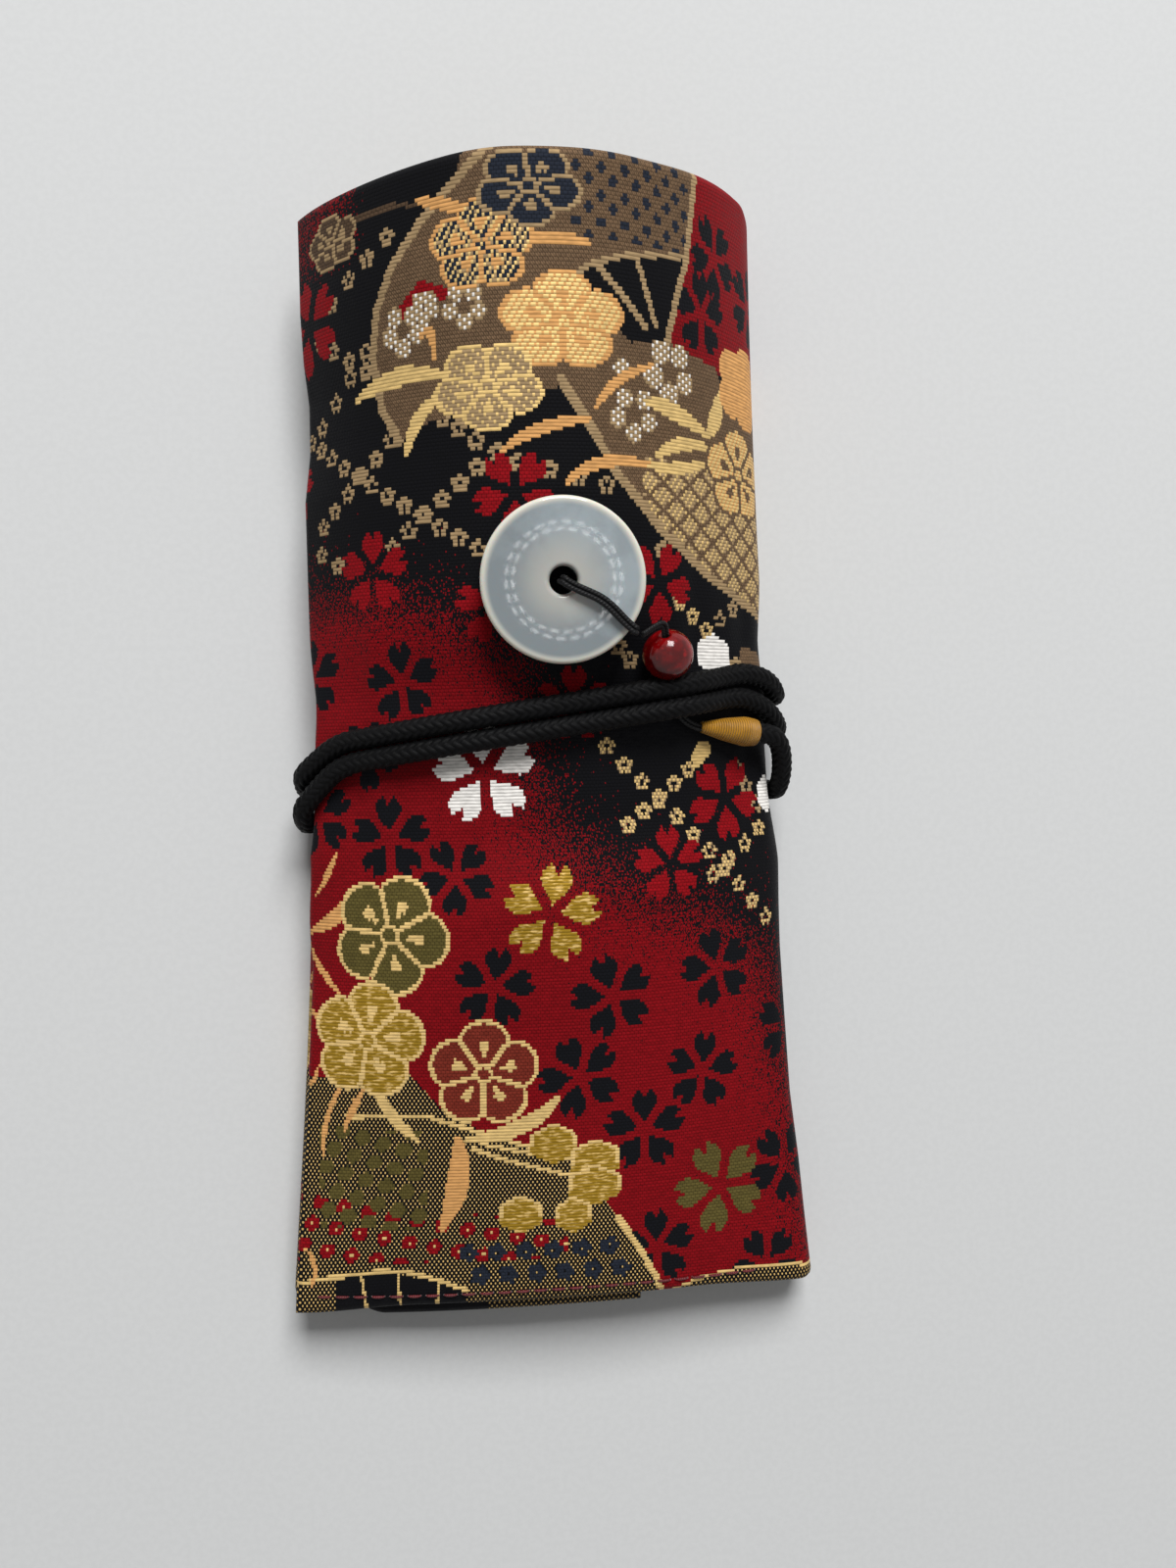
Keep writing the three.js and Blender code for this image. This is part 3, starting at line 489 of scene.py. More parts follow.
# Plum blossoms with an outline: place, reach, turn, flattening, fill, outline
PLUMS = (
    (-27.6, -27, 10.6, 64, 1.0, OLIVE, PALE), (-32, -45.2, 10.4, 80, 1.0, GOLD, PALE),
    (-12, -51, 9.6, 88, 1.0, RUST, PALE), (2.8, 69.4, 10.2, 90, 0.74, PALE, PEACH),
    (-9, 60, 9, 54, 0.76, TAN, PALE), (-9.6, 80.6, 8.6, 90, 0.8, SPOTTED, PEACH),
    (-2.2, 88.8, 8.4, 58, 0.72, NAVY, DULL), (42, 64.5, 9, 70, 0.8, PEACH, PEACH),
    (39, 49.5, 10, 90, 0.8, PALE, TAN), (-38, 86, 6.5, 30, 0.7, BROWN, DULL))
# Single petals: place, half width, half height, turn, fill
PETALS = (
    (-0.4, -63.8, 4.1, 3.4, 0, GOLD), (6.8, -67.2, 4.5, 3.5, 0, GOLD), (6.6, -71.8, 4.8, 3.4, 0, GOLD),
    (2.9, -77, 3.2, 3.1, 0, GOLD), (-6.2, -76.4, 3.8, 3.3, 0, GOLD), (30.3, 19, 3.6, 3.2, 0, WHITE),
    (41.5, -5.2, 2.6, 3.2, 0, WHITE), (40.5, 17.6, 4.4, 2.2, -24, TAN), (27, 2.2, 1.5, 2.6, -35, PALE))
# Leaves: from, bend, to, widest, yarn
LEAVES = (
    ((-32.6, 60.6), (-24, 64), (-16, 62.2), 2.9, PALE),
    ((-22.8, 50.6), (-21.5, 57), (-16, 59.4), 2.2, PALE),
    ((-20, 88), (-15, 87.6), (-10.5, 84.6), 2.0, PEACH),
    ((-36, 87.4), (-28, 89.4), (-20, 87.6), 1.2, BROWN), ((-4.5, 80.8), (1, 82.2), (7, 81), 1.9, PEACH),
    ((-7, 50.2), (-1, 54.6), (7, 55), 2.0, PEACH), ((3.2, 45.4), (7.5, 50.2), (18, 48.6), 2.0, PEACH),
    ((17, 48.6), (23, 48), (30, 50.4), 2.0, PALE), ((16.8, 58.4), (22, 58), (30, 54.8), 2.8, PALE),
    ((18.6, 50.2), (23, 53.6), (30.5, 52.8), 2.4, PALE), ((30.4, 55), (33, 58), (34, 62.4), 3.4, PALE),
    ((8, 57), (11, 62), (18, 64), 1.7, PEACH), ((-20, 68), (-17.5, 71), (-17.6, 64.5), 1.6, PEACH),
    ((0.4, -55.8), (-4, -61.6), (-15, -62.6), 2.9, PALE),
    ((-30.5, -54), (-28.5, -58.5), (-23.6, -62.6), 2.1, PALE),
    ((-33, -54), (-35, -57), (-36.4, -61), 1.4, PEACH),
    ((-16.6, -62.8), (-15.6, -70), (-19.6, -78.4), 3.9, PEACH),
    ((-37, -13.4), (-38.4, -17.2), (-41.6, -20.4), 1.0, PEACH),
    ((-32.6, -18.6), (-36.4, -24.6), (-43, -26.8), 2.6, PEACH),
    ((-44, -28.4), (-41, -34), (-36.6, -38), 1.2, PEACH),
    ((-45, -41), (-41.6, -40), (-40, -44), 1.0, PEACH),
    ((-45, -53), (-42.4, -54.6), (-41.2, -50), 1.0, PEACH),
    ((-36, -52), (-40.6, -58), (-40.4, -66), 1.0, PEACH),
    ((-44, -82), (-40.8, -85), (-43, -89), 0.9, PEACH))
# Edges that both a line and a fan follow
UPPER_RIM = ((-24, 53), (-27.4, 58), (-29, 66), (-28.2, 73), (-25, 79.4), (-19, 85.6), (-13.6, 90))
RIB_RIM = ((3.4, 75.6), (8, 78.2), (13.8, 79.9), (20, 80.8), (25.4, 81.8))
SIDE_RIM = ((2.4, 61), (4.6, 57.4), (7, 54), (11.4, 47), (19.6, 38.4), (30, 31.6), (46, 25))
HEM_FOOT = ((19, -93.2), (25, -91.0), (32, -90.0), (39, -90.2), (48, -91.2))
# Drawn lines: points, width, yarn
LINES = (
    ((*UPPER_RIM, (-8, 95)), 1.4, DULL), (((28, 95), (25.4, 81.4), (23, 75), (20.4, 66.4)), 1.3, DULL),
    (RIB_RIM, 0.9, DULL), (((8.4, 77.8), (16.6, 69.6)), 1.1, DULL),
    (((15, 79.8), (18.6, 70)), 1.0, DULL), (SIDE_RIM, 1.5, DULL),
    (((-24, 71.6), (-19.6, 75.6), (-16, 74.2)), 1.8, ROSE),
    (((-36, -58.6), (-22, -58.3), (-12, -61.6), (-4, -64.4)), 0.8, PALE),
    (((-14.2, -64.2), (-8, -66.6), (2.6, -69.8)), 0.8, PALE),
    (((-12.6, -63.4), (-6, -65), (3.2, -67)), 0.7, PALE),
    (((10.8, -78.2), (14.4, -84), (17.4, -89.6), (19.4, -95)), 1.1, PALE),
    (((-46, -88.6), (-39.8, -87.3), (-30, -86), (-25.6, -86.4), (-20, -88.2), (-16, -90)), 0.8, PALE),
    (((-34, -86.6), (-33.2, -93)), 0.5, PALE), (((-27.6, -86.6), (-27.4, -93)), 0.5, PALE),
    (((-20.6, -88.2), (-21, -93)), 0.5, PALE),
    (((20, -93.2), *HEM_FOOT[1:]), 0.6, PALE))
# Small flowers of beaded dots: ring, dot, turn; then their rows: from, to, how many, yarn
BEADED = (0.98, 0.56, 17)
DOT_ROWS = (
    ((-48, 57.6), (-11, 35.4), 13, DULL), ((-41.6, 71), (-30.6, 64.6), 4, DULL),
    ((-25.6, 36.4), (-10.8, 48), 6, DULL), ((-40.5, 41), (-25.6, 53.2), 6, DULL),
    ((-41.6, 57.6), (-30.4, 67.6), 4, DULL), ((-41, 36.6), (-37, 34.6), 2, DULL),
    ((-38, 76.6), (-25.8, 84), 4, DULL), ((-16.4, 55.6), (-11, 52), 3, DULL),
    ((-7.6, 50), (-4.4, 48.6), 2, DULL), ((9.6, 3.8), (40.6, -27), 11, PALE),
    ((13.3, -9.5), (24.4, -0.4), 5, PALE), ((28.9, -18.7), (39, -11.2), 4, PALE),
    ((34.4, -0.4), (38.6, -7), 3, DULL), ((23, 27.4), (29, 23), 3, PALE),
    ((32.2, 24.8), (35.8, 26.8), 2, DULL), ((11.8, 20), (13.8, 18), 2, DULL),
    ((19.6, 35.6), (19.6, 35.6), 1, DULL), ((35.2, 17.2), (35.2, 17.2), 1, DULL),
    ((0.4, 47.4), (9.6, 45.2), 3, DULL))
# Clusters of pale dots: their turn; middle, ring, dot
CLUSTER_TURN = 52
CLUSTERS = (
    (-23, 69.6, 2.6, 1.5), (-19.2, 72.4, 1.6, 1.2), (-12.4, 72, 2.4, 1.3), (14.4, 56.2, 2.9, 1.5),
    (21.4, 63.4, 3.4, 1.9), (12.2, 63, 0.1, 1.3))
# Outlines of the fans and of what is in them
UPPER_FAN = (
    *UPPER_RIM, (-8, 110), (31, 110), (25.4, 81.4), *RIB_RIM[3::-1], (8, 69), (14, 68),
    (20, 66.5), (22, 62), (3, 60), (-4, 58), (-14, 56), (-20, 55))
RIBS = (*RIB_RIM, (23, 75), (20.4, 66.4), (14, 67))
RED_FIELD = ((20.4, 65.4), (28, 110), (60, 110), (60, 65.4))
SIDE_FAN = (*SIDE_RIM, (60, 20), (60, 60), (44, 58), (36, 60), (33, 66), (20, 68), (8, 66))
LOW_FAN = (
    (-60, -52), (-36, -52), (-25, -50.4), (-19.4, -57), (-12, -61.4), (-5, -64), (4, -67),
    (10.8, -78.2), (14.4, -84), (17.4, -89.6), (19.4, -110), (-60, -110))
FAN_FOOT = ((-60, -88), (-30, -86.2), (-20, -88.4), (-16, -90))
REPEAT = 50.0


def scatter(i, j):
    """A fixed value between 0 and 1 for each thread crossing."""
    n = np.sin(i * 12.9898 + j * 78.233) * 43758.5453
    return n - np.floor(n)


def near_line(s, t, points):
    """Distance to a line through points, and the share of the way along it."""
    best, along_best = np.full(s.shape, 1e9), np.zeros(s.shape)
    for k in range(len(points) - 1):
        (ax, ay), (bx, by) = points[k], points[k + 1]
        dx, dy = bx - ax, by - ay
        along = np.clip(((s - ax) * dx + (t - ay) * dy) / (dx * dx + dy * dy), 0, 1)
        away = np.hypot(s - ax - along * dx, t - ay - along * dy)
        closer = away < best
        best = np.where(closer, away, best)
        along_best = np.where(closer, (k + along) / (len(points) - 1), along_best)
    return best, along_best


def above(s, t, points):
    xs, ys = zip(*points)
    return t - np.interp(s, xs, ys)


def inside(s, t, corners):
    """Whether each place is within a closed outline."""
    odd = np.zeros(s.shape, bool)
    for k in range(len(corners)):
        (ax, ay), (bx, by) = corners[k - 1], corners[k]
        crosses = (ay > t) != (by > t)
        odd ^= crosses & (s < ax + (t - ay) * (bx - ax) / ((by - ay) or 1e-9))
    return odd


def petals(s, t, x, y, turn):
    """Distance from a flower's middle and the angle from the nearest of its five petals."""
    step = 2 * np.pi / 5
    angle = np.arctan2(t - y, s - x) - np.radians(turn)
    return np.hypot(s - x, t - y), (angle + step / 2) % step - step / 2


def cherry(s, t, x, y, reach, turn):
    """Five separate notched petals."""
    r, swing = petals(s, t, x, y, turn)
    along, side = r / reach * np.cos(swing), np.abs(r / reach * np.sin(swing))
    width = 0.31 * np.sin(np.pi * np.clip((along - 0.17) / 0.9, 0, 1) ** 1.35) ** 0.85
    notch = side < (along - 0.76) * 0.5
    return (along > 0.17) & (along < 1.0 - 0.1 * (side < 0.05)) & (side < width) & ~notch


def plum(s, t, x, y, reach, turn, flat):
    """Five round petals that touch: the whole, its outlines and its stamens."""
    r, swing = petals(s, y + (t - y) / flat, x, y, turn)
    r = r / reach
    rim = 0.76 + 0.24 * np.cos(swing * 2.5) ** 0.7
    line = 0.8 / reach
    between = (np.abs(np.abs(swing) - np.pi / 5) * r < line * 0.55) & (r > 0.14)
    edge = (r > rim - line) | between | (np.abs(r - 0.14) < line * 0.4)
    stamen = (np.abs(swing) * r < line * (0.5 + 0.6 * (r > 0.42))) & (r > 0.3) & (r < 0.58)
    return r < rim, (r < rim) & edge, (r < rim) & stamen


def beaded(s, t, x, y, ring, dot, turn):
    """A ring of small dots with an open middle."""
    r, swing = petals(s, t, x, y, turn)
    return np.hypot(r * np.cos(swing) - ring, r * np.sin(swing)) < dot


def curve(start, bend, end, steps=8):
    """Points of a bent line."""
    shares = [k / steps for k in range(steps + 1)]
    return [tuple((1 - a) ** 2 * start[m] + 2 * a * (1 - a) * bend[m] + a * a * end[m] for m in (0, 1))
            for a in shares]


def folded(s):
    """The design runs on in mirrored repeats across the cloth."""
    s = (s + REPEAT) % (4 * REPEAT)
    return np.where(s < 2 * REPEAT, s - REPEAT, 3 * REPEAT - s)


def haze(s, t):
    """Share of black in the ground: red and black run into each other, but for a red field."""
    s = folded(s)
    away, _ = near_line(s, t, CLOUD)
    reach = lerp(*CLOUD_HAZE, smooth(-t, -8, 12))
    black = 0.5 + np.where(above(s, t, CLOUD) > 0, 0.5, -0.5) * (1 - np.exp(-((away / reach) ** 1.3)))
    black = black * (1 - 0.4 * smooth(t, 80, 86) * smooth(-s, 30, 37))
    return np.where(inside(s, t, RED_FIELD), 0.0, black)


def fans(s, t, i, j, yarn):
    """Open fans: paper woven as a fine check, with dots, arcs and ribs."""
    check, third = (i + j) % 2 == 0, (i + 2 * j) % 3 == 0
    paper = inside(s, t, UPPER_FAN)
    yarn = np.where(paper, TAN, yarn)
    lozenge = ((s + t) % 4.0 < 2.0) & ((s - t) % 4.0 < 2.0)
    yarn = np.where(paper & (s > 4) & (t > 81.5) & (s < 26) & lozenge, NAVY, yarn)
    yarn = np.where(inside(s, t, RIBS), BLACK, yarn)
    side = inside(s, t, SIDE_FAN)
    yarn = np.where(side, TAN, yarn)
    cells = ((s * 0.8 + t) % 4.4 < 0.9) | ((s * 0.8 - t) % 4.4 < 0.9)
    yarn = np.where(side & (s > 16) & (t < 50) & ~cells, np.where(third, PALE, DULL), yarn)
    low = inside(s, t, LOW_FAN)
    yarn = np.where(low, np.where(check, SPECK, BLACK), yarn)
    dots = low & (s < -22) & (s > -41) & (t < -60.6) & (t > -78.5)
    dots &= np.hypot((s - 0.5 * t) % 4.1 - 2.05, (t + 0.3 * s) % 3.7 - 1.85) < 1.5
    yarn = np.where(dots, OLIVE, yarn)
    away = np.hypot((s - 0.4 * t) % 4.6 - 2.3, (t + 0.2 * s) % 4.2 - 2.1)
    seeds = low & (t < -73 - 0.12 * (s + 40)) & (t > -84.6) & (s < 2) & ~dots & (away < 1.35)
    yarn = np.where(seeds, ROSE, yarn)
    yarn = np.where(seeds & (away < 0.27), PALE, yarn)
    for k in range(6):
        for x, y in ((-15.4 + 4.9 * k, -83.2), (-13.4 + 4.9 * k, -87.4)):
            r, swing = petals(s, t, x, y, 0)
            yarn = np.where(low & (r > 0.35) & (r < 1.6 + 0.25 * np.cos(5 * swing)), NAVY, yarn)
    foot = low & (s > -38.5) & (s < -16) & (above(s, t, FAN_FOOT) < 0)
    yarn = np.where(foot, BLACK, yarn)
    hem = (s > 19) & (above(s, t, HEM_FOOT) < 0)
    return np.where(hem, np.where(check, SPECK, BLACK), yarn)


def weave(s, t, i, j):
    """The yarn that shows at each thread crossing."""
    s = folded(s)
    check, third = (i + j) % 2 == 0, (i + 2 * j) % 3 == 0
    yarn = np.full(s.shape, RED)
    for start, end, count, fill in DOT_ROWS:
        for k in range(count):
            along = k / max(count - 1, 1)
            x, y = lerp(start[0], end[0], along), lerp(start[1], end[1], along)
            yarn = np.where(beaded(s, t, x, y, *BEADED), np.where(check, fill, DULL), yarn)
    for x, y, reach, turn, fill in CHERRIES:
        yarn = np.where(cherry(s, t, x, y, reach, turn), fill, yarn)
    yarn = fans(s, t, i, j, yarn)
    for points, width, fill in LINES:
        away, _ = near_line(s, t, points)
        yarn = np.where(away < width / 2, fill, yarn)
    for x, y, ring, dot in CLUSTERS:
        pale = np.where((i + 2 * j) % 4 == 0, WHITE, DULL)
        yarn = np.where(beaded(s, t, x, y, ring, dot, CLUSTER_TURN), pale, yarn)
    for start, bend, end, wide, fill in LEAVES:
        away, along = near_line(s, t, curve(start, bend, end))
        slender = 0.25 + 0.75 * np.sin(np.pi * np.clip(along * 0.9 + 0.06, 0, 1))
        yarn = np.where(away < wide / 2 * slender, fill, yarn)
    fills = {PALE: np.where(third, PEACH, PALE), TAN: np.where((i + 2 * j) % 5 == 0, PALE, DULL),
             SPOTTED: np.where(third, PALE, np.where(scatter(i, j) > 0.35, NAVY, DULL))}
    for x, y, reach, turn, flat, fill, outline in PLUMS:
        body, edge, stamen = plum(s, t, x, y, reach, turn, flat)
        yarn = np.where(body, fills.get(fill, fill), yarn)
        yarn = np.where(edge | stamen, outline, yarn)
    for x, y, wide, high, turn, fill in PETALS:
        a = np.radians(turn)
        u = ((s - x) * np.cos(a) + (t - y) * np.sin(a)) / wide
        v = ((t - y) * np.cos(a) - (s - x) * np.sin(a)) / high
        r = np.hypot(u, v) * (1 + 0.05 * np.cos(6 * np.arctan2(v, u)))
        yarn = np.where(r < 1, fill, yarn)
        # Gold petals get a pale rim on all but their lower part: a painted highlight.
        yarn = np.where((r < 1) & (r > 0.84) & (v > -0.2) & (fill == GOLD), PALE, yarn)
    return yarn


# Meshes
def mesh_from(name, bm):
    """A mesh with what was built in a bmesh."""
    mesh = bpy.data.meshes.new(name)
    bm.to_mesh(mesh)
    bm.free()
    return mesh


def new_object(name, data):
    made = bpy.data.objects.new(name, data)
    bpy.context.scene.collection.objects.link(made)
    return made


def grid_mesh(name, points, threads, yarn=None, black=None, wrap=False):
    """A mesh of rows and columns of points in millimetres, with its thread count as its UV map."""
    rows, columns = points.shape[:2]
    bm = bmesh.new()
    bmesh.ops.create_grid(bm, x_segments=columns - 1, y_segments=rows - 1, size=0.5)
    mesh = mesh_from(name, bm)
    co = np.empty(len(mesh.vertices) * 3)
    mesh.vertices.foreach_get("co", co)
    flat = co.reshape(-1, 3)[:, :2] - co.reshape(-1, 3)[:, :2].min(axis=0)
    column, row = np.rint(flat / flat.max(axis=0) * (columns - 1, rows - 1)).astype(int).T
    mesh.vertices.foreach_set("co", (points[row, column] * MM).ravel())
    corners = np.empty(len(mesh.loops), int)
    mesh.loops.foreach_get("vertex_index", corners)
    layer = mesh.uv_layers.new(name="threads")
    layer.data.foreach_set("uv", threads[row, column][corners].ravel().astype(np.float32))
    if yarn is not None:
        four = corners.reshape(-1, 4)
        shown = yarn[row[four].min(axis=1), column[four].min(axis=1)]
        for key, domain, values in (("yarn", "FACE", shown), ("haze", "POINT", black[row, column])):
            layer = mesh.attributes.new(key, "FLOAT", domain)
            layer.data.foreach_set("value", values.ravel().astype(np.float32))
    if wrap:
        close_tube(mesh)
    mesh.shade_smooth()
    mesh.update()
    return mesh


def close_tube(mesh):
    """Joins a tube's first and last column and closes its ends."""
    bm = bmesh.new()
    bm.from_mesh(mesh)
    bmesh.ops.remove_doubles(bm, verts=bm.verts, dist=1e-7)
    ends = [edge for edge in bm.edges if edge.is_boundary]
    if ends:
        bmesh.ops.holes_fill(bm, edges=ends, sides=0)
    bmesh.ops.recalc_face_normals(bm, faces=bm.faces)
    bm.to_mesh(mesh)
    bm.free()


def add_piece(name, mesh, material, body, nodes):
    """A finished piece that rides on a body, if it is given one, and stands for its CAD nodes."""
    piece = new_object(name, mesh)
    mesh.materials.append(material)
    if body:
        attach(piece, body)
    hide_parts(*nodes)
    return piece


def thicken(piece, thickness):
    """Gives cloth its thickness, half to each side."""
    wall = piece.modifiers.new("Cloth thickness", "SOLIDIFY")
    wall.thickness, wall.offset = thickness * MM, 0.0


def join_meshes(name, meshes):
    """One mesh in the place of several."""
    bm = bmesh.new()
    for mesh in meshes:
        bm.from_mesh(mesh)
        bpy.data.meshes.remove(mesh)
    joined = mesh_from(name, bm)
    joined.shade_smooth()
    return joined


def along_path(path):
    """Unit directions and two crosswise unit vectors along a path, carried without twist."""
    path = np.asarray(path, float)
    way = np.gradient(path, axis=0)
    way /= np.linalg.norm(way, axis=1)[:, None]
    side = np.empty_like(way)
    first = np.cross(way[0], (0, 0, 1.0))
    side[0] = first / np.linalg.norm(first)
    for k in range(1, len(way)):
        turned = side[k - 1] - way[k] * (side[k - 1] @ way[k])
        side[k] = turned / np.linalg.norm(turned)
    return way, side, np.cross(way, side)


def evened(points, step):
    """Points at even steps along a path."""
    points = np.asarray(points, float)
    arc = path_arc(points)
    return resampled(points, arc, max(int(arc[-1] / step), 3) + 1)


def spaced(points, step):
    """Points at even steps along a smoothed path."""
    out = evened(points, step)
    weights = np.array([1, 4, 6, 4, 1]) / 16
    for _ in range(SMOOTHING_PASSES):
        padded = np.concatenate([2 * out[:1] - out[2:0:-1], out, 2 * out[-1:] - out[-2:-4:-1]])
        out = sum(w * padded[k : k + len(out)] for k, w in enumerate(weights))
    return out


def tube(path, radius, sides):
    """Rings of points round a path; radius is a number or rows of one value for each side."""
    _, side, up = along_path(path)
    turn = np.linspace(0, 2 * np.pi, sides + 1)[None, :, None]
    ring = side[:, None, :] * np.cos(turn) + up[:, None, :] * np.sin(turn)
    size = np.broadcast_to(radius, (len(path), sides + 1))
    return np.asarray(path)[:, None, :] + ring * size[:, :, None]


def lathe(name, profile, place, axis, steps):
    """A round piece from a profile of radius and height, spun about an axis at a place."""
    bm = bmesh.new()
    verts = [bm.verts.new((r, 0, h)) for r, h in profile]
    edges = [bm.edges.new(pair) for pair in zip(verts, verts[1:])]
    bmesh.ops.spin(bm, geom=verts + edges, cent=(0, 0, 0), axis=(0, 0, 1), dvec=(0, 0, 0),
                   angle=2 * math.pi, steps=steps, use_merge=True, use_duplicate=False)
    bmesh.ops.remove_doubles(bm, verts=bm.verts, dist=1e-4)
    bmesh.ops.recalc_face_normals(bm, faces=bm.faces)
    turn = Vector((0, 0, 1)).rotation_difference(Vector(axis)).to_matrix().to_4x4()
    moved = Matrix.Scale(MM, 4) @ Matrix.Translation(place) @ turn
    bmesh.ops.transform(bm, matrix=moved, verts=bm.verts)
    mesh = mesh_from(name, bm)
    mesh.shade_smooth()
    return mesh


def corner_arc(x, y, radius, quarter, steps):
    """Points of a quarter circle about a place; quarters count from the first axis."""
    angles = [(quarter + k / steps) * math.pi / 2 for k in range(steps + 1)]
    return [(x + radius * math.cos(a), y + radius * math.sin(a)) for a in angles]


# Places on the front flap and the cord's route, in millimetres
def in_space(station, x, z):
    return np.array([x, float(length_at(station, x)), z], float)


def seat(x, station, height):
    """A place over the front flap's outer face, and the way out from it."""
    step = 0.02
    here, across, along = (in_space(st, at, float(dome_point(st, at)[1]))
                           for st, at in ((station, x), (station, x + step), (station + step, x)))
    out = np.cross(across - here, along - here)
    out /= np.linalg.norm(out)
    return here + out * height, out


def hull(points):
    """The convex outline of points, counter-clockwise."""
    points = sorted(points)

    def half(listed):
        chain = []
        for p in listed:
            while len(chain) > 1:
                (ox, oz), (qx, qz) = chain[-2], chain[-1]
                if (qx - ox) * (p[1] - oz) - (qz - oz) * (p[0] - ox) > 0:
                    break
                chain.pop()
            chain.append(p)
        return chain[:-1]

    return half(points) + half(points[::-1])


def outline(station):
    t = np.linspace(0, 1, OUTLINE_POINTS)
    points = []
    for panel in (right_fold, left_fold, front_panel):
        x, z = panel(t, station + 0 * t, 0.0)
        points += list(zip(x.tolist(), z.tolist()))
    return points


def wrap_point(station, angle, offset):
    """Where a cord lies round the section at a station, at an angle."""
    near = [outline(station + away) for away in (-CORD_RADIUS, 0, CORD_RADIUS)]
    corners = np.array(hull(sum(near, [])))
    half, base = float(half_width(station)), float(base_height(station))
    middle = (float(crown_height(station)) + base) / 2
    aim = np.array([half * math.cos(angle), (middle - base) * math.sin(angle)])
    aim /= np.linalg.norm(aim)
    along = np.roll(corners, -1, axis=0) - np.roll(corners, 1, axis=0)
    along /= np.linalg.norm(along, axis=1)[:, None]
    grown = corners + np.stack([along[:, 1], -along[:, 0]], axis=1) * offset - (0, middle)
    sides = np.roll(grown, -1, axis=0) - grown
    cross = aim[0] * sides[:, 1] - aim[1] * sides[:, 0]
    cross = np.where(np.abs(cross) < 1e-9, 1e-9, cross)
    distance = (grown[:, 0] * sides[:, 1] - grown[:, 1] * sides[:, 0]) / cross
    share_along = (grown[:, 0] * aim[1] - grown[:, 1] * aim[0]) / cross
    reach = distance[(distance > 0) & (share_along >= -1e-6) & (share_along <= 1 + 1e-6)].max()
    return aim[0] * reach, middle + aim[1] * reach


def strand_offset(angle):
    """How far a strand lies from the band's middle: close in front, wider and lower at the back."""
    front = (angle - FRONT_ANGLE) / (2 * math.pi)
    held = math.sin(angle) + (RIGHT_HOLD if math.cos(angle) > 0 else LEFT_HOLD)
    pitch = lerp(SIDE_PITCH, FRONT_PITCH, float(smooth(held, *FRONT_CLOSING)))
    shift = lerp(BACK_SHIFT, 0, float(smooth(math.sin(angle), *BACK_CLOSING)))
    return (0.5 - front) * pitch - shift


def bezier(a, b, c, d, steps):
    """Points of a curve by its ends and the two points it leaves and comes in by."""
    t = np.linspace(0, 1, steps + 1)[:, None]
    return (1 - t) ** 3 * a + 3 * (1 - t) ** 2 * t * b + 3 * (1 - t) * t * t * c + t**3 * d


def unit(vector):
    return vector / np.linalg.norm(vector)


def whipping_frame():
    """The whipping's tip, the way to its wide end and that end."""
    station = BAND_CENTRE - WHIPPING_OFFSET
    tip, _ = seat(WHIPPING_TIP_X, station + WHIPPING_TILT, WHIPPING_TIP / 2 + WHIPPING_REST)
    wide, _ = seat(WHIPPING_TIP_X + WHIPPING_LENGTH * WHIPPING_FULL_AT, station,
                   WHIPPING_WIDE / 2 + WHIPPING_REST)
    axis = unit(wide - tip)
    return tip, axis, tip + axis * WHIPPING_LENGTH


def cord_route():
    """The closing cord: down from the flap's free edge, round the waist and into the whipping."""
    steps = round((END_ANGLE - START_ANGLE) / (2 * math.pi) * FINE_STEPS)
    ring = []
    for angle in np.linspace(START_ANGLE, END_ANGLE, steps + 1):
        last = float(smooth(angle / math.pi, *LAST_RUN))
        station = BAND_CENTRE + strand_offset(angle) - RIGHT_DROP * last
        stand = START_EASE * (1 - float(smooth((angle - START_ANGLE) / START_REACH)))
        offset = CORD_RADIUS + CORD_CLEARANCE + CORD_EASE + stand
        x, z = wrap_point(station, angle, offset)
        near = 1 - float(smooth(abs(x - BEAD_X - LEADER_SIDE) / LEADER_SPAN))
        if near > 0 and math.sin(angle) > 0:
            x, z = wrap_point(station, angle, offset + LEADER_LIFT * near)
        place = in_space(station, x, z)
        begun = float(smooth(angle / math.pi, *BEGINNING))
        place[0] += START_IN * (1 - begun) - LEFT_OUT * begun * float(smooth(-x, *SIDE_SPAN))
        place[0] += RIGHT_OUT * (1 - LAST_RUN_IN * last) * float(smooth(x, *SIDE_SPAN))
        ring.append(place)
    ring = np.array(ring)
    _, axis, end = whipping_frame()
    end = end + axis * CORD_CLEARANCE
    into = end + axis * 2 * CORD_RADIUS
    ahead = ring[-1] + unit(ring[-1] - ring[-2]) * LEAD_FULLNESS
    final = bezier(ring[-1], ahead, into + axis * LEAD_FULLNESS, into, CURVE_STEPS)
    return np.concatenate([ring, final[1:], [lerp(end, into, LEAD_IN_AT)], [end]])


def bead_frame():
    """The bead's place, where the leader leaves the cord and the way through the bead."""
    away = FRONT_PITCH / 2 + CORD_RADIUS + BEAD_RADIUS + BEAD_GAP
    place, _ = seat(BEAD_X, BAND_CENTRE + away, BEAD_RADIUS + REST_GAP)
    under, _ = seat(BEAD_X + LEADER_LEAN[0], BAND_CENTRE + FRONT_PITCH / 2,
                    LEADER_RADIUS + CORD_CLEARANCE)
    return place, under, unit(place - under)


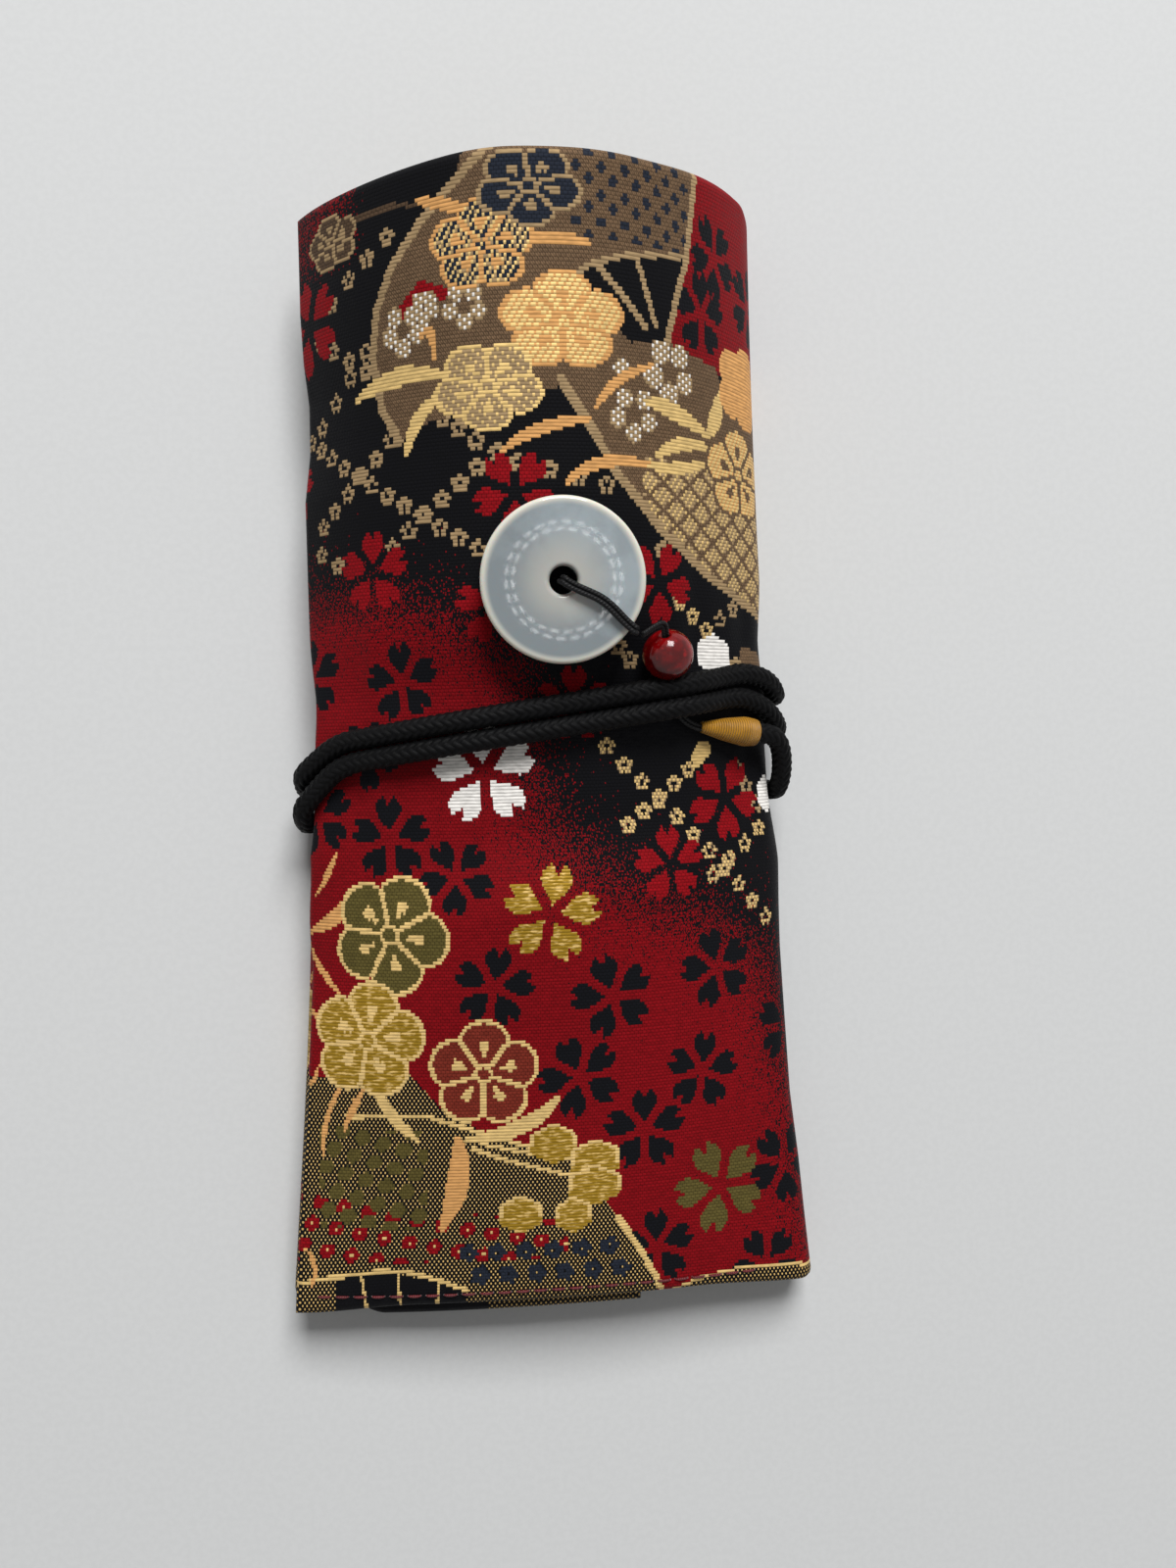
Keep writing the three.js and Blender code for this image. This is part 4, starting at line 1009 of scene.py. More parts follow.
def disc_frame():
    """The disc's place, the way out of its face and the way to the bead."""
    bead, _, _ = bead_frame()
    bearing = math.radians(DISC_BEARING)
    x, y = bead[0] + DISC_FROM_BEAD * math.cos(bearing), bead[1] + DISC_FROM_BEAD * math.sin(bearing)
    crown, out = seat(0, y, 0)
    up = unit(np.array([0, out[1], out[2]]))
    place = np.array([x, y, crown[2]]) + up * (DISC_THICKNESS / 2 + LOOP_DIAMETER + 2 * REST_GAP)
    to_bead = bead - place
    return place, up, unit(to_bead - up * (to_bead @ up))


def loop_route():
    """A ring of cord through the disc's hole and round its rim."""
    place, up, out = disc_frame()
    corner = LOOP_DIAMETER
    points = []
    for along, height, quarter in ((LOOP_OUTER, LOOP_HEIGHT, 0), (-LOOP_PAST_BORE, LOOP_HEIGHT, 1),
                                   (-LOOP_PAST_BORE, -LOOP_HEIGHT, 2), (LOOP_OUTER, -LOOP_HEIGHT, 3)):
        a, h = along - math.copysign(corner, along), height - math.copysign(corner, height)
        points += [place + out * x + up * z
                   for x, z in corner_arc(a, h, corner, quarter, LOOP_CURVE_STEPS)]
    return np.array(points)


def bowed(loop):
    """The loop's upper run bows sideways between the hole and the rim."""
    place, up, out = disc_frame()
    along, height = (loop - place) @ out, (loop - place) @ up
    bow = np.sin(np.pi * smooth(along, 0, LOOP_OUTER)) * smooth(height, 0, LOOP_HEIGHT)
    return loop + np.cross(up, out) * (LOOP_BOW * bow)[:, None] + up * (LOOP_RISE * bow)[:, None]


def leader_route():
    """The leader: out of the whipping, under both strands, through the bead to the disc's loop."""
    tip, axis, _ = whipping_frame()
    bead, under, through = bead_frame()
    place, up, out = disc_frame()
    lower, _ = seat(BEAD_X + LEADER_LEAN[1], BAND_CENTRE - FRONT_PITCH / 2,
                    LEADER_RADIUS + CORD_CLEARANCE)
    start = tip + axis * LEADER_TUCK
    reach = LOOP_OUTER + LOOP_DIAMETER / 2 + LEADER_END_GAP
    end = place + out * reach + up * (LOOP_HEIGHT - LOOP_DIAMETER)
    points = [start, tip - axis * 2 * LEADER_RADIUS, lower, under, bead - through * BEAD_RADIUS, bead,
              bead + through * BEAD_RADIUS, bead + through * (BEAD_RADIUS + LEADER_RUN_OUT), end]
    return catmull(points, CURVE_STEPS)


def catmull(points, steps):
    """A smooth curve through points."""
    points = [2 * points[0] - points[1], *points, 2 * points[-1] - points[-2]]
    out = []
    for k in range(1, len(points) - 2):
        p0, p1, p2, p3 = points[k - 1 : k + 3]
        for t in np.arange(steps) / steps:
            out.append(0.5 * (2 * p1 + (p2 - p0) * t + (2 * p0 - 5 * p1 + 4 * p2 - p3) * t * t
                              + (3 * p1 - p0 - 3 * p2 + p3) * t**3))
    return np.array(out + [points[-2]])


# Parts of the cloth's surface
def hem_steps(free, count):
    """Edge index, side and values of each place along an axis with its hems.

    The values are reach in radii and in mm, depth in radii, and length in radii and in mm.
    """
    turn = np.linspace(0, np.pi, HEM_TURNS + 1)[1:]
    back = HEM_RETURN * np.arange(1, 4) / 3
    table = [np.concatenate([np.sin(turn), 0 * back]), np.concatenate([0 * turn, -back]),
             np.concatenate([1 - np.cos(turn), 0 * back + 2]), np.concatenate([turn, 0 * back + np.pi]),
             np.concatenate([0 * turn, back])]
    zero = np.zeros(count)
    parts, index, sign = [[zero] * 5], [np.arange(count)], [zero]
    if free[0]:
        parts.insert(0, [values[::-1] for values in table])
        index.insert(0, np.zeros(len(table[0]), int))
        sign.insert(0, -np.ones(len(table[0])))
    if free[1]:
        parts.append(table)
        index.append(np.full(len(table[0]), count - 1))
        sign.append(np.ones(len(table[0])))
    values = [np.concatenate(column) for column in zip(*parts)]
    return np.concatenate(index), np.concatenate(sign), values


def unit_rows(vectors):
    return vectors / np.linalg.norm(vectors, axis=2)[:, :, None]


def surface_ways(points):
    """Unit directions across and along a sheet, and the way out of it."""
    across = unit_rows(np.gradient(points, axis=1))
    along = unit_rows(np.gradient(points, axis=0))
    return across, along, unit_rows(np.cross(across, along))


def hemmed(points, places, ys, sides=(False, False)):
    """Rolls a sheet's ends and free sides under: its points and their places on the flat cloth."""
    rows, columns = points.shape[:2]
    radius = hem_radius(ys)
    across, along, out = surface_ways(points)
    ci, cs, (c_turn, c_flat, c_deep, c_arc, c_run) = hem_steps(sides, columns)
    ri, rs, (r_turn, r_flat, r_deep, r_arc, r_run) = hem_steps((True, True), rows)
    pick = np.ix_(ri, ci)
    size = radius[ri][:, None]
    side_reach = cs * (c_turn * size + c_flat)
    end_reach = (rs * (r_turn * radius[ri] + r_flat))[:, None]
    depth = np.maximum(c_deep * size, (r_deep * radius[ri] * END_HEM_DEPTH)[:, None])
    moved = points[pick] + across[pick] * side_reach[:, :, None] + along[pick] * end_reach[:, :, None]
    moved -= out[pick] * depth[:, :, None]
    side_length = cs * (c_arc * size + c_run) + 0 * end_reach
    end_length = (rs * (r_arc * radius[ri] + r_run))[:, None] + 0 * side_reach
    return moved, places[pick] + np.stack([side_length, end_length], axis=2)


def row_places(near_inset=0.0):
    """Even weft rows from end to end of the pouch, inside the rolled hems."""
    roll = hem_radius(HALF_LENGTH)
    return np.linspace(-HALF_LENGTH + near_inset + roll, HALF_LENGTH - roll, ROWS)


def hem_radius(station):
    return panel_depth(station) / 2 - HEM_SLACK


def creases(points):
    """Small gathers that run out from under the cord, as a depth below the smooth cloth."""
    x, y = points[:, :, 0], points[:, :, 1]
    away = np.abs(y - BAND_CENTRE - BAND_SLANT * x)
    gather = smooth(away, *GATHER_START) * (1 - smooth(away, *GATHER_END))
    wave = np.sin(x * 0.55 + 1.3 * np.sin(x * 0.21 + 0.4) + 0.02 * y)
    wave = wave + 0.5 * np.sin(x * 1.27 + 0.03 * y + 1.0)
    broad = 0.5 + 0.5 * np.sin(x * 0.11 + 0.9 * np.sin(y * 0.043) + y * 0.035)
    swell = SWELL_DEPTH * broad * smooth(away, *SWELL_START)
    return GATHER_DEPTH * gather * (0.5 + 0.33 * wave) + swell


def settled(points):
    """The flap as it lies: its sides stand out, the far end runs on and the near corners spread."""
    x, y, z = np.moveaxis(points, 2, 0)
    far, near = smooth(y, FAR_PART, HALF_LENGTH), smooth(-y, NEAR_PART, HALF_LENGTH)
    high, side = smooth(z, *TOP_RISE), smooth(z - base_height(y), *SIDE_RISE)
    out = points.copy()
    edge, middle, fold = FAR_REACH
    reach = edge + middle * smooth(x, *FAR_REACH_MIDDLE) + fold * smooth(x, *FAR_REACH_FOLD)
    corner = CORNER_SPREAD * near * smooth(np.abs(x), *CORNER_ACROSS) * side
    out[:, :, 1] += reach * far * high - corner
    left, right = (np.interp(y, *zip(*table)) for table in (LEFT_STANDS_OUT, RIGHT_STANDS_OUT))
    out[:, :, 0] += (right * smooth(x, *STANDING_ACROSS) - left * smooth(-x, *STANDING_ACROSS)) * side
    return out


def bulged(points):
    """The left fold beside the near half, which shows beyond the flap."""
    out = points.copy()
    x, y = points[:, :, 0], points[:, :, 1]
    out[:, :, 0] -= FOLD_BULGE * (smooth(-y, *BULGE_ALONG) * smooth(-x - half_width(y), *BULGE_SIDE))
    return out


def pressed_in(points, depth):
    """A sheet pressed in below its outer face."""
    return points - surface_ways(points)[2] * depth[:, :, None]


def flat_places(points, start=0.0):
    """Length across the cloth from each row's start value, and length along it."""
    across = np.broadcast_to(start, len(points))[:, None] + row_arcs(points)
    return np.stack([across, points[:, :, 1]], axis=2)


def cloth_mesh(name, points, places):
    """Woven cloth whose faces are its thread crossings."""
    rows, columns = points.shape[:2]
    middle = (places[1:, 1:] + places[:-1, 1:] + places[1:, :-1] + places[:-1, :-1]) / 4
    row, column = np.mgrid[0 : rows - 1, 0 : columns - 1]
    yarn = weave(middle[:, :, 0], middle[:, :, 1], column, row)
    down, over = np.mgrid[0:rows, 0:columns]
    black = haze(places[:, :, 0], places[:, :, 1])
    return grid_mesh(name, points, np.stack([over, down], axis=2), yarn, black)


def stitch_mesh(name, places, ways, outs, length, radius):
    """A row of short stitches, each dipping into the cloth at both ends."""
    stitches = []
    along = np.linspace(-1, 1, STITCH_POINTS)
    lift = (1 - along**4) * radius * 1.1 - radius * 0.9
    thick = radius * (0.55 + 0.45 * (1 - along**2))[:, None]
    row, column = np.mgrid[0:STITCH_POINTS, 0:STITCH_POINTS]
    for place, way, out in zip(places, ways, outs):
        path = place + way * along[:, None] * length / 2 + out * lift[:, None]
        rings = tube(path, thick, STITCH_POINTS - 1)
        stitches.append(grid_mesh(name, rings, np.stack([column, row], axis=2), wrap=True))
    return join_meshes(name, stitches)


# Shader helpers
def linear(colour):
    """A colour as it is seen, 0 to 255, as linear values."""
    return tuple(c / 255 / 12.92 if c <= 10 else ((c / 255 + 0.055) / 1.055) ** 2.4 for c in colour)


def opaque(colour, factor=1.0):
    """A colour, made darker or lighter, with full opacity."""
    return (*(min(c * factor, 1.0) for c in colour), 1.0)


class Tree:
    """Short calls that add and link shader nodes."""

    def __init__(self, tree):
        self.tree = tree

    def link(self, value, socket):
        self.tree.links.new(value, socket)

    def node(self, kind, inputs=None, **settings):
        node = self.tree.nodes.new("ShaderNode" + kind)
        for key, value in settings.items():
            setattr(node, key, value)
        for key, value in (inputs or {}).items():
            if isinstance(value, bpy.types.NodeSocket):
                self.link(value, node.inputs[key])
            else:
                node.inputs[key].default_value = value
        return node

    def use(self, group, **inputs):
        return self.node("Group", inputs, node_tree=group()).outputs

    def math(self, operation, *values, clamp=False):
        inputs = dict(enumerate(values))
        return self.node("Math", inputs, operation=operation, use_clamp=clamp).outputs[0]

    def times(self, value, *others):
        for other in others:
            value = self.math("MULTIPLY", value, other)
        return value

    def plus(self, a, b, clamp=False):
        return self.math("ADD", a, b, clamp=clamp)

    def rest(self, value):
        """What a share leaves of one."""
        return self.math("SUBTRACT", 1.0, value)

    def ridges(self, count):
        """A rounded ridge for each whole number."""
        return self.math("ABSOLUTE", self.math("SINE", self.times(count, math.pi)))

    def floors(self, split):
        """The whole parts of the first two values, added."""
        return self.plus(self.math("FLOOR", split[0]), self.math("FLOOR", split[1]))

    def is_near(self, value, number):
        return self.math("COMPARE", value, float(number), 0.5)

    def mix(self, factor, a, b, blend="MIX"):
        return self.node("Mix", {0: factor, 6: a, 7: b}, data_type="RGBA", blend_type=blend).outputs[2]

    def mix_values(self, factor, a, b):
        return self.node("Mix", {0: factor, 2: a, 3: b}, data_type="FLOAT").outputs[0]

    def span(self, value, low, high, to_low=0.0, to_high=1.0):
        inputs = {"Value": value, "From Min": low, "From Max": high,
                  "To Min": to_low, "To Max": to_high}
        return self.node("MapRange", inputs, interpolation_type="SMOOTHSTEP").outputs[0]

    def spread(self, value, low, high):
        """The middle range of a noise, spread between two values."""
        return self.span(value, 0.3, 0.7, low, high)

    def split(self, vector):
        return self.node("SeparateXYZ", {0: vector}).outputs

    def threads(self):
        return self.node("UVMap", uv_map="threads").outputs[0]

    def attribute(self, name):
        return self.node("Attribute", attribute_name=name).outputs["Fac"]

    def object_place(self, centre=(0, 0, 0)):
        coordinates = self.node("TexCoord").outputs["Object"]
        return self.node("VectorMath", {0: coordinates, 1: centre}, operation="SUBTRACT").outputs[0]

    def noise(self, vector, scale, detail=3.0, roughness=0.5):
        inputs = {"Vector": vector, "Scale": scale, "Detail": detail, "Roughness": roughness}
        return self.node("TexNoise", inputs).outputs["Fac"]

    def streak(self, threads, along, across):
        return self.use(silk_fibre, Threads=threads, Along=along, Across=across)["Streak"]

    def patch(self, scale, low, high):
        """Soft patches of shade between two values."""
        patch = self.use(soft_patches, Place=self.object_place(), Scale=scale)["Patch"]
        return self.spread(patch, low, high)

    def bump(self, height, distance, strength):
        inputs = {"Height": height, "Distance": distance, "Strength": strength}
        return self.node("Bump", inputs).outputs[0]


def new_material(name, inputs, kind="BsdfPrincipled"):
    """A material of one shader with constant values, and its tree and shader."""
    material = bpy.data.materials.new(name)
    material.use_nodes = True
    material.node_tree.nodes.clear()
    tree = Tree(material.node_tree)
    shader = tree.node(kind, inputs)
    tree.node("OutputMaterial", {"Surface": shader.outputs[0]})
    return material, tree, shader


def shared_group(name, inputs, outputs):
    """Makes a node group, once, by a function from its tree and inputs to its outputs.

    An input without a value is a vector; all others and the outputs are numbers.
    """
    def wrap(build):
        def group():
            found = bpy.data.node_groups.get(name)
            if found:
                return found
            made = bpy.data.node_groups.new(name, "ShaderNodeTree")
            for key, value in inputs.items():
                kind = "NodeSocketVector" if value is None else "NodeSocketFloat"
                socket = made.interface.new_socket(key, in_out="INPUT", socket_type=kind)
                if value is not None:
                    socket.default_value = value
            for key in outputs:
                made.interface.new_socket(key, in_out="OUTPUT", socket_type="NodeSocketFloat")
            tree = Tree(made)
            start = made.nodes.new("NodeGroupInput").outputs
            end = made.nodes.new("NodeGroupOutput").inputs
            for key, value in zip(outputs, build(tree, start)):
                tree.link(value, end[key])
            return made

        return group

    return wrap


@shared_group("Thread relief", {"Threads": None}, ("Height", "Shade"))
def thread_relief(tree, start):
    """Height and shade of a plain weave."""
    split = tree.split(start["Threads"])
    warp, weft = tree.ridges(split[0]), tree.ridges(split[1])
    over = tree.math("ABSOLUTE", tree.math("MODULO", tree.floors(split), 2.0))
    weft_high = tree.times(weft, tree.math("MULTIPLY_ADD", warp, 0.35, 0.65))
    warp_high = tree.times(warp, tree.math("MULTIPLY_ADD", weft, 0.35, 0.65))
    height = tree.plus(tree.times(weft_high, over), tree.times(warp_high, tree.rest(over)))
    return height, tree.span(height, 0.0, 0.7, 0.45, 1.0)


@shared_group("Silk fibre", {"Threads": None, "Along": 0.35, "Across": 4.0}, ("Streak",))
def silk_fibre(tree, start):
    """Fine streaks along one thread, from its place across and along."""
    split = tree.split(start["Threads"])
    along, across = tree.times(split[0], start["Along"]), tree.times(split[1], start["Across"])
    vector = tree.node("CombineXYZ", {0: along, 1: across}).outputs[0]
    return (tree.noise(vector, 1.0, 2.0),)


@shared_group("Plait relief", {"Strands": None}, ("Height", "Across", "Along"))
def plait_relief(tree, start):
    """Height, place across and length along the strand of a round braid, from its two strand counts."""
    split = tree.split(start["Strands"])
    on_top = tree.math("LESS_THAN", tree.math("FLOORED_MODULO", tree.floors(split), 4.0), 2.0)
    under = tree.rest(on_top)
    a, b = tree.math("FRACT", split[0]), tree.math("FRACT", split[1])
    across = tree.plus(tree.times(a, on_top), tree.times(b, under))
    along = tree.plus(tree.times(split[1], on_top), tree.times(split[0], under))
    return tree.math("SINE", tree.times(across, math.pi)), across, along


@shared_group("Soft patches", {"Place": None, "Scale": 60.0}, ("Patch",))
def soft_patches(tree, start):
    """Slow changes over a surface, as handling and light fading leave."""
    return (tree.noise(start["Place"], start["Scale"], 2.0, 0.45),)


@shared_group("Brocade relief", {"Threads": None, "Float": 0.0}, ("Height", "Shade", "Spot"))
def brocade_relief(tree, start):
    """Woven figures: height and shade of fine ground with staggered ties and of lit floats."""
    split = tree.split(start["Threads"])
    ridge = tree.ridges(split[1])
    lead = tree.math("MULTIPLY_ADD", tree.math("FLOOR", split[1]), 0.5, tree.times(split[0], 0.5))
    tie = tree.math("ABSOLUTE", tree.math("SUBTRACT", tree.math("FRACT", lead), 0.5))
    tie = tree.span(tie, 0.3, 0.5)
    twill = tree.math("SINE", tree.times(tree.math("MULTIPLY_ADD", split[1], 2.0, split[0]), math.pi))
    plain = tree.times(tree.span(ridge, 0.0, 0.75, 0.66, 1.06), tree.rest(tree.times(tie, 0.42)),
                       tree.math("MULTIPLY_ADD", twill, 0.07, 1.0))
    shade = tree.mix_values(start["Float"], plain, tree.span(ridge, 0.05, 0.8, 0.68, 1.06))
    low = tree.math("SUBTRACT", tree.times(ridge, 0.5), tree.times(tie, 0.6))
    height = tree.mix_values(start["Float"], low, ridge)
    return height, shade, tree.span(tree.times(tree.ridges(split[0]), ridge), 0.32, 0.68)


def finish_threads(tree, shader, colour, shades, rough, height, bump):
    """Links the threads' colour under all their shades, their roughness and their relief."""
    shade = tree.times(*shades)
    grey = tree.node("CombineColor", {0: shade, 1: shade, 2: shade}).outputs[0]
    for value, socket in ((tree.mix(1.0, colour, grey, "MULTIPLY"), "Base Color"), (rough, "Roughness"),
                          (tree.bump(height, *bump), "Normal")):
        tree.link(value, shader.inputs[socket])


def brocade_material(name, yarns):
    """Silk whose faces carry the number of their yarn, with black strewn into the red ground."""
    material, tree, shader = new_material(
        name, {"Sheen Weight": 0.03, "Sheen Roughness": 0.4, "Specular IOR Level": 0.07})
    yarn, threads = tree.attribute("yarn"), tree.threads()
    ramp = tree.node("ValToRGB", {0: tree.math("DIVIDE", tree.plus(yarn, 0.5), float(YARNS))})
    ramp.color_ramp.interpolation = "CONSTANT"
    stops = ramp.color_ramp.elements
    while len(stops) < YARNS:
        stops.new(len(stops) / YARNS)
    for k, (key, _, _) in enumerate(YARN_COLOURS):
        stops[k].position = k / YARNS
        stops[k].color = opaque(getattr(yarns, key))
    fine = tree.node("VectorMath", {0: threads, 1: (2.0, 2.0, 1.0)}, operation="MULTIPLY").outputs[0]
    fine = tree.node("VectorMath", {0: fine}, operation="FLOOR").outputs[0]
    chance = tree.node("TexWhiteNoise", {"Vector": fine}, noise_dimensions="2D").outputs["Value"]
    dark = tree.times(tree.math("LESS_THAN", chance, tree.attribute("haze")), tree.is_near(yarn, RED))
    colour = tree.mix(dark, ramp.outputs[0], opaque(yarns.black))
    split = tree.split(threads)
    twill = tree.math("SINE", tree.times(tree.plus(split[0], split[1]), 2 * math.pi))
    paper = tree.times(tree.is_near(yarn, TAN), tree.span(twill, -0.4, 0.4, 0.8, 0.1))
    colour = tree.mix(paper, colour, opaque(yarns.brown))
    relief = tree.use(brocade_relief, Threads=threads, Float=tree.math("LESS_THAN", yarn, DULL + 0.5))
    streak = tree.streak(threads, 0.22, 1.0)
    # Painted glint: gold yarn turns pale where its fibre streaks run high.
    painted_glint = tree.times(tree.is_near(yarn, GOLD), tree.span(streak, 0.48, 0.66), 0.7)
    colour = tree.mix(painted_glint, colour, opaque(yarns.pale))
    around = tree.times(tree.is_near(yarn, SPECK), tree.rest(relief["Spot"]))
    colour = tree.mix(around, colour, opaque(yarns.black))
    gold = tree.math("LESS_THAN", yarn, GOLD + 0.5)
    tree.link(tree.times(gold, 0.2), shader.inputs["Metallic"])
    shades = relief["Shade"], tree.spread(streak, 0.84, 1.14), tree.patch(45.0, 0.94, 1.06)
    rough = tree.plus(tree.times(gold, -0.2), tree.spread(streak, 0.6, 0.74))
    height = tree.plus(relief["Height"], tree.times(streak, 0.3))
    finish_threads(tree, shader, colour, shades, rough, height, (0.0001, 0.5))
    return material


def plain_cloth_material(name, colour):
    material, tree, shader = new_material(name, {"Sheen Weight": 0.3, "Specular IOR Level": 0.25})
    threads = tree.threads()
    relief = tree.use(thread_relief, Threads=threads)
    streak = tree.streak(threads, 0.5, 1.7)
    shades = relief["Shade"], tree.span(streak, 0.25, 0.75, 0.82, 1.1), tree.patch(70.0, 0.9, 1.06)
    rough = tree.span(streak, 0.2, 0.8, 0.72, 0.9)
    finish_threads(tree, shader, opaque(colour), shades, rough, relief["Height"], (0.00015, 0.8))
    return material


def braid_material(name, colour):
    material, tree, shader = new_material(
        name, {"Sheen Weight": 0.02, "Sheen Roughness": 0.35, "Specular IOR Level": 0.1})
    plait = tree.use(plait_relief, Strands=tree.threads())
    across = tree.times(plait["Across"], 9.0)
    thread = tree.node("CombineXYZ", {0: plait["Along"], 1: across}).outputs[0]
    streak = tree.streak(thread, 0.8, 1.4)
    shades = (tree.span(plait["Height"], 0.0, 0.9, 0.35, 1.15), tree.spread(streak, 0.6, 1.5),
              tree.patch(90.0, 0.85, 1.15))
    height = tree.plus(plait["Height"], tree.times(streak, 0.5))
    rough = tree.spread(streak, 0.5, 0.7)
    finish_threads(tree, shader, opaque(colour), shades, rough, height, (0.00012, 0.8))
    return material


def wound_material(name, colour, sheen, dark, gloss=0.45):
    """Thread that is wound or twisted: its UV counts turns across and places round the piece."""
    material, tree, shader = new_material(
        name, {"Sheen Weight": sheen, "Sheen Roughness": 0.35, "Specular IOR Level": gloss})
    threads = tree.threads()
    streak = tree.streak(threads, 0.7, 5.0)
    ridge = tree.ridges(tree.split(threads)[1])
    shades = (tree.span(ridge, 0.0, 0.8, dark, 1.0), tree.spread(streak, 0.8, 1.15),
              tree.patch(400.0, 0.85, 1.12))
    height = tree.plus(ridge, tree.times(streak, 0.4))
    rough = tree.spread(streak, 0.42, 0.6)
    finish_threads(tree, shader, opaque(colour), shades, rough, height, (0.00008, 0.8))
    return material


def bead_material(colour):
    """Dark red stone with clouds and fine lighter veins."""
    material, tree, shader = new_material(
        "Dark red stone",
        {"Roughness": 0.12, "IOR": 1.54, "Transmission Weight": 0.12, "Specular IOR Level": 0.3})
    place = tree.object_place()
    cloud, vein = tree.noise(place, 260.0, 4.0, 0.6), tree.noise(place, 900.0, 2.0, 0.5)
    mixed = tree.mix(tree.span(cloud, 0.35, 0.65), opaque(colour, 0.35), opaque(colour))
    mixed = tree.mix(tree.span(vein, 0.58, 0.75, 0.0, 0.5), mixed, opaque(colour, 1.8))
    tree.link(mixed, shader.inputs["Base Color"])
    tree.link(tree.span(vein, 0.3, 0.8, 0.08, 0.2), shader.inputs["Roughness"])
    return material


def disc_material(body, rim, warm):
    """Milky polished stone with clouds, painted darker towards one side as shade, with a painted
    highlight along the rim and a painted glow round the hole.
    """
    material, tree, shader = new_material(
        "Milky stone",
        {"IOR": 1.54, "Subsurface Weight": 0.25, "Subsurface Scale": 0.002, "Transmission Weight": 0.1})
    place, _, _ = disc_frame()
    offset = tree.object_place(tuple(float(v) * MM for v in place))
    reach = tree.node("VectorMath", {0: offset}, operation="LENGTH").outputs["Value"]
    cloud, speck = tree.noise(offset, 160.0, 5.0, 0.55), tree.noise(offset, 120.0, 2.0, 0.5)
    split = tree.split(offset)
    # Painted shade: the stone's clouds are made darker towards one side and lighter towards the other.
    painted_shade_side = tree.span(tree.plus(split[0], split[1]), -0.012, 0.014, -0.5, 0.5)
    clouds_and_shade = tree.plus(tree.span(cloud, 0.38, 0.66, 0.1, 0.6), painted_shade_side, clamp=True)
    colour = tree.mix(clouds_and_shade, opaque(body), opaque(body, 1.5))
    # Painted highlight: a pale band along the rounded rim.
    colour = tree.mix(tree.span(reach, 0.0116, 0.0128), colour, opaque(rim))
    # Painted glow: a pale colour round the hole that fades outwards.
    colour = tree.mix(tree.span(reach, 0.0024, 0.0094, 0.85, 0.0), colour, opaque(warm))
    tree.link(colour, shader.inputs["Base Color"])
    tree.link(tree.span(speck, 0.3, 0.8, 0.03, 0.04), shader.inputs["Roughness"])
    return material


def floor_material(colour):
    material, tree, shader = new_material("Pale table", {"Specular IOR Level": 0.2})
    grain = tree.noise(tree.object_place(), 900.0)
    colour = tree.mix(tree.span(grain, 0.35, 0.65), opaque(colour, 0.97), opaque(colour))
    tree.link(colour, shader.inputs["Base Color"])
    tree.link(tree.span(grain, 0.3, 0.7, 0.75, 0.85), shader.inputs["Roughness"])
    return material


# Settings
YARN_COLOURS = (
    ("pale", "Pale gold", (224, 190, 124)), ("gold", "Gold", (158, 124, 36)),
    ("peach", "Peach", (216, 160, 98)), ("white", "White", (244, 240, 234)),
    ("dull", "Dull gold", (162, 136, 100)), ("tan", "Fan paper", (123, 98, 73)),
    ("black", "Black ground", (12, 12, 15)), ("red", "Red ground", (128, 12, 20)),
    ("ink", "Inky blossoms", (15, 16, 20)), ("olive", "Olive", (92, 82, 42)),
    ("navy", "Navy", (36, 41, 52)), ("rust", "Rust", (122, 46, 34)), ("rose", "Rose", (140, 13, 22)),
    ("brown", "Brown", (84, 66, 50)), ("speck", "Fan specks", (226, 188, 116)))


def colour_properties(colours, described):
    """A colour property for each key, label and colour."""
    return {key: FloatVectorProperty(name=label, description=described.format(label.lower()),
                                     subtype="COLOR", size=3, min=0.0, max=1.0, default=linear(colour))
            for key, label, colour in colours}


class PouchYarns(PropertyGroup):
    """Colours of the brocade's yarns"""

    __annotations__ = colour_properties(YARN_COLOURS, "Colour of the brocade's {} yarn")


PIECE_COLOURS = (
    ("lining", "Lining", (226, 208, 178)), ("sleeve", "Pen sleeves", (38, 40, 48)),
    ("stitch", "Stitches", (96, 14, 22)), ("cord", "Cord", (4, 4, 5)), ("leader", "Leader", (9, 9, 11)),
    ("whipping", "Whipping", (172, 120, 6)), ("bead", "Bead", (134, 6, 10)),
    # The disc rim's colour is a painted highlight and the disc middle's colour a painted glow.
    ("stone", "Disc", (138, 147, 151)), ("rim", "Disc rim highlight", (226, 224, 210)),
    ("warm", "Disc glow", (196, 194, 186)), ("floor", "Table", (211, 212, 212)))


class PouchColours(PropertyGroup):
    """Colours of the other pieces"""

    __annotations__ = colour_properties(PIECE_COLOURS, "Colour of the {}")


class PouchSizes(PropertyGroup):
    """Sizes that may change without moving a CAD part"""

    braid_lead: FloatProperty(
        name="Braid lead", description="Length of one full turn of a braid strand",
        subtype="DISTANCE", unit="LENGTH", default=11.6 * MM, min=5 * MM, max=30 * MM)
    whipping_thread: FloatProperty(
        name="Whipping thread", description="Width of one turn of the whipping's thread",
        subtype="DISTANCE", unit="LENGTH", default=0.42 * MM, min=0.2 * MM, max=1 * MM)
    stitch_length: FloatProperty(
        name="Stitch length", description="Length of one hem or sleeve stitch",
        subtype="DISTANCE", unit="LENGTH", default=2.4 * MM, min=1 * MM, max=6 * MM)
    key_light: FloatProperty(
        name="Key light", description="Power of the main lamp",
        subtype="POWER", default=68.0, min=0.0, max=400.0)
    room_light: FloatProperty(
        name="Room light", description="Strength of the light from all round",
        default=0.21, min=0.0, max=2.0)
    ring_light: FloatProperty(
        name="Ring light", description="Strength of the ring lamp that the disc reflects",
        default=8.0, min=0.0, max=100.0)


def settings():
    scene = bpy.context.scene
    return scene.pouch_yarns, scene.pouch_colours, scene.pouch_sizes


